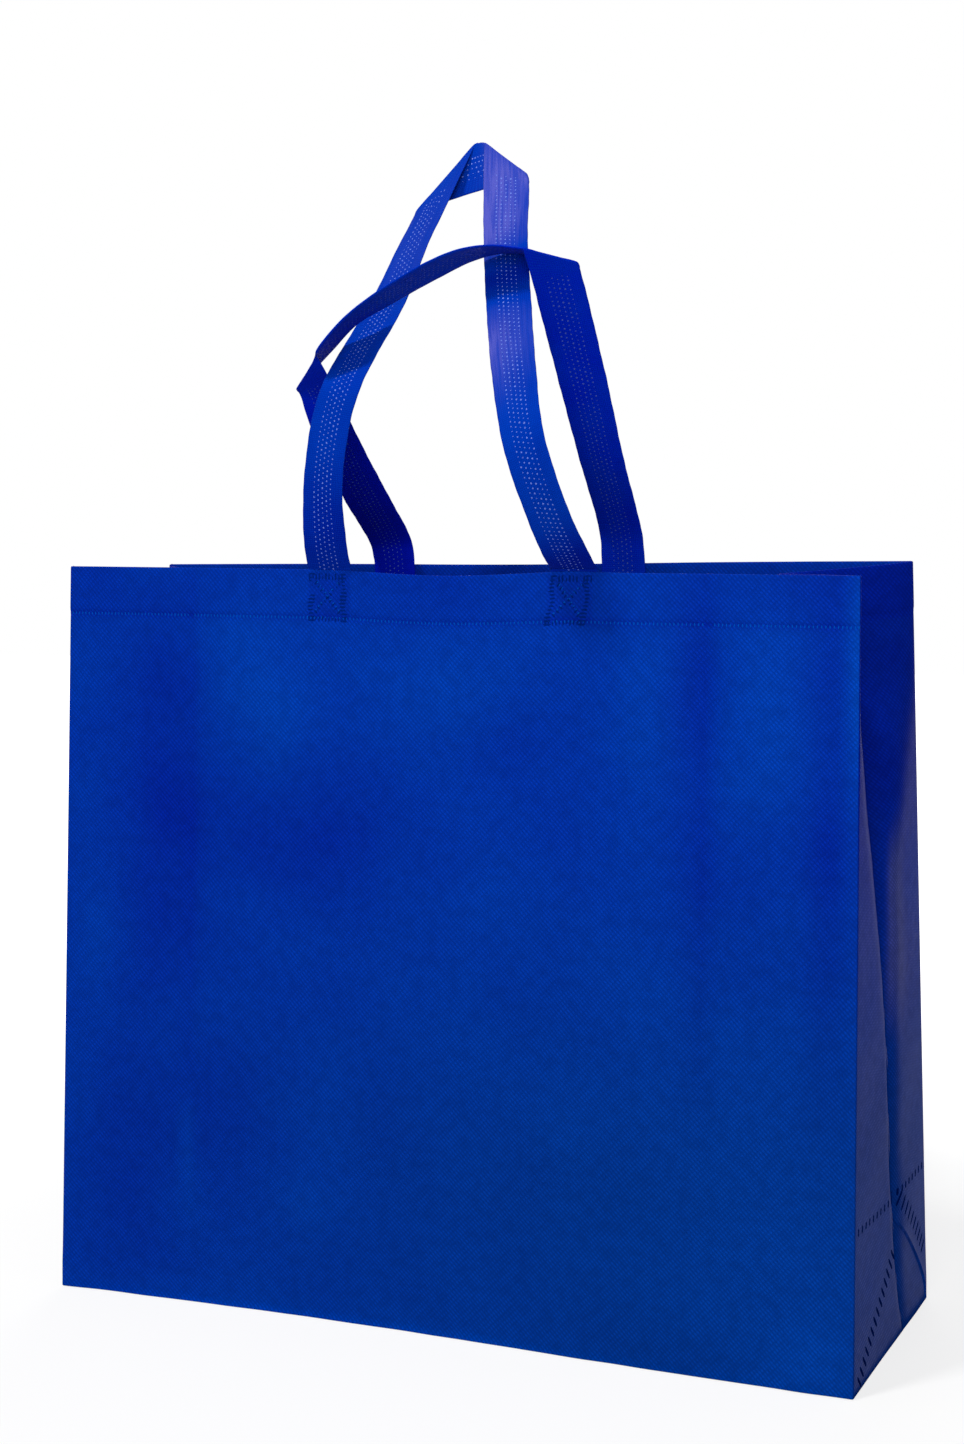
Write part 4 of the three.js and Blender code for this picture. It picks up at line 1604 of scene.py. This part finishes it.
class BAG_OT_stage(bpy.types.Operator):
    """Set up the floor, the lamps, the background and the camera"""

    bl_idname = "bag.stage"
    bl_label = "Stage"

    def execute(self, context):
        scene = context.scene
        stage = scene.bag_stage
        reach = FLOOR_REACH
        corners = [(-reach, -reach), (reach, -reach), (reach, reach), (-reach, reach)]
        floor = make_mesh("floor", [(x, y, -FLOOR_DROP) for x, y in corners], [(0, 1, 2, 3)])
        floor.data.materials.append(floor_material(stage.floor))
        if scene.world is None:
            scene.world = bpy.data.worlds.new("studio")
        light_world(scene.world, stage.fill)
        for name in LAMPS:
            settings = (getattr(stage, name + part) for part in ("_power", "_place", "_size"))
            add_lamp(scene, name, *settings)
        self.place_camera(scene, stage)
        scene.view_settings.view_transform = "Standard"
        return {"FINISHED"}

    def place_camera(self, scene, stage):
        """Adds the camera and makes it the scene's own."""
        data = bpy.data.cameras.new("camera")
        data.lens = stage.lens
        data.sensor_fit = "VERTICAL"
        data.sensor_height = SENSOR
        data.sensor_width = SENSOR
        camera = bpy.data.objects.new("camera", data)
        a, p, r = stage.azimuth, stage.pitch, stage.roll
        ahead = np.array([-math.sin(a) * math.cos(p), math.cos(a) * math.cos(p), -math.sin(p)])
        right = np.array([math.cos(a), math.sin(a), 0])
        up = np.cross(right, ahead)
        across = math.cos(r) * right + math.sin(r) * up
        upward = -math.sin(r) * right + math.cos(r) * up
        turn = Matrix(np.stack([across, upward, -ahead], 1).tolist())
        camera.matrix_world = Matrix.LocRotScale(stage.place, turn.to_quaternion(), None)
        scene.collection.objects.link(camera)
        scene.camera = camera


class BAG_PT_panel(bpy.types.Panel):
    """The bag's sizes, colours and steps"""

    bl_idname = "BAG_PT_panel"
    bl_label = "Carrier bag"
    bl_space_type = "VIEW_3D"
    bl_region_type = "UI"
    bl_category = "Bag"

    def draw(self, context):
        for name, group in GROUPS.items():
            box = self.layout.box()
            box.label(text=group.__doc__)
            settings = getattr(context.scene, name)
            for key in group.__annotations__:
                box.prop(settings, key)
        for step in STEPS:
            self.layout.operator(step.bl_idname)


GROUPS = {
    "bag_sizes": BagSizes,
    "bag_straps": StrapSizes,
    "bag_colours": BagColours,
    "bag_stage": StageSettings,
}
STEPS = (BAG_OT_stage, BAG_OT_body, BAG_OT_welds, BAG_OT_straps)
CLASSES = (*GROUPS.values(), *STEPS, BAG_PT_panel)


def register():
    for cls in CLASSES:
        bpy.utils.register_class(cls)
    for name, group in GROUPS.items():
        setattr(bpy.types.Scene, name, PointerProperty(type=group))


def unregister():
    for name in GROUPS:
        delattr(bpy.types.Scene, name)
    for cls in reversed(CLASSES):
        bpy.utils.unregister_class(cls)


def main():
    register()
    bpy.ops.bag.stage()
    bpy.ops.bag.body()
    bpy.ops.bag.welds()
    bpy.ops.bag.straps()


if __name__ == "__main__":
    main()
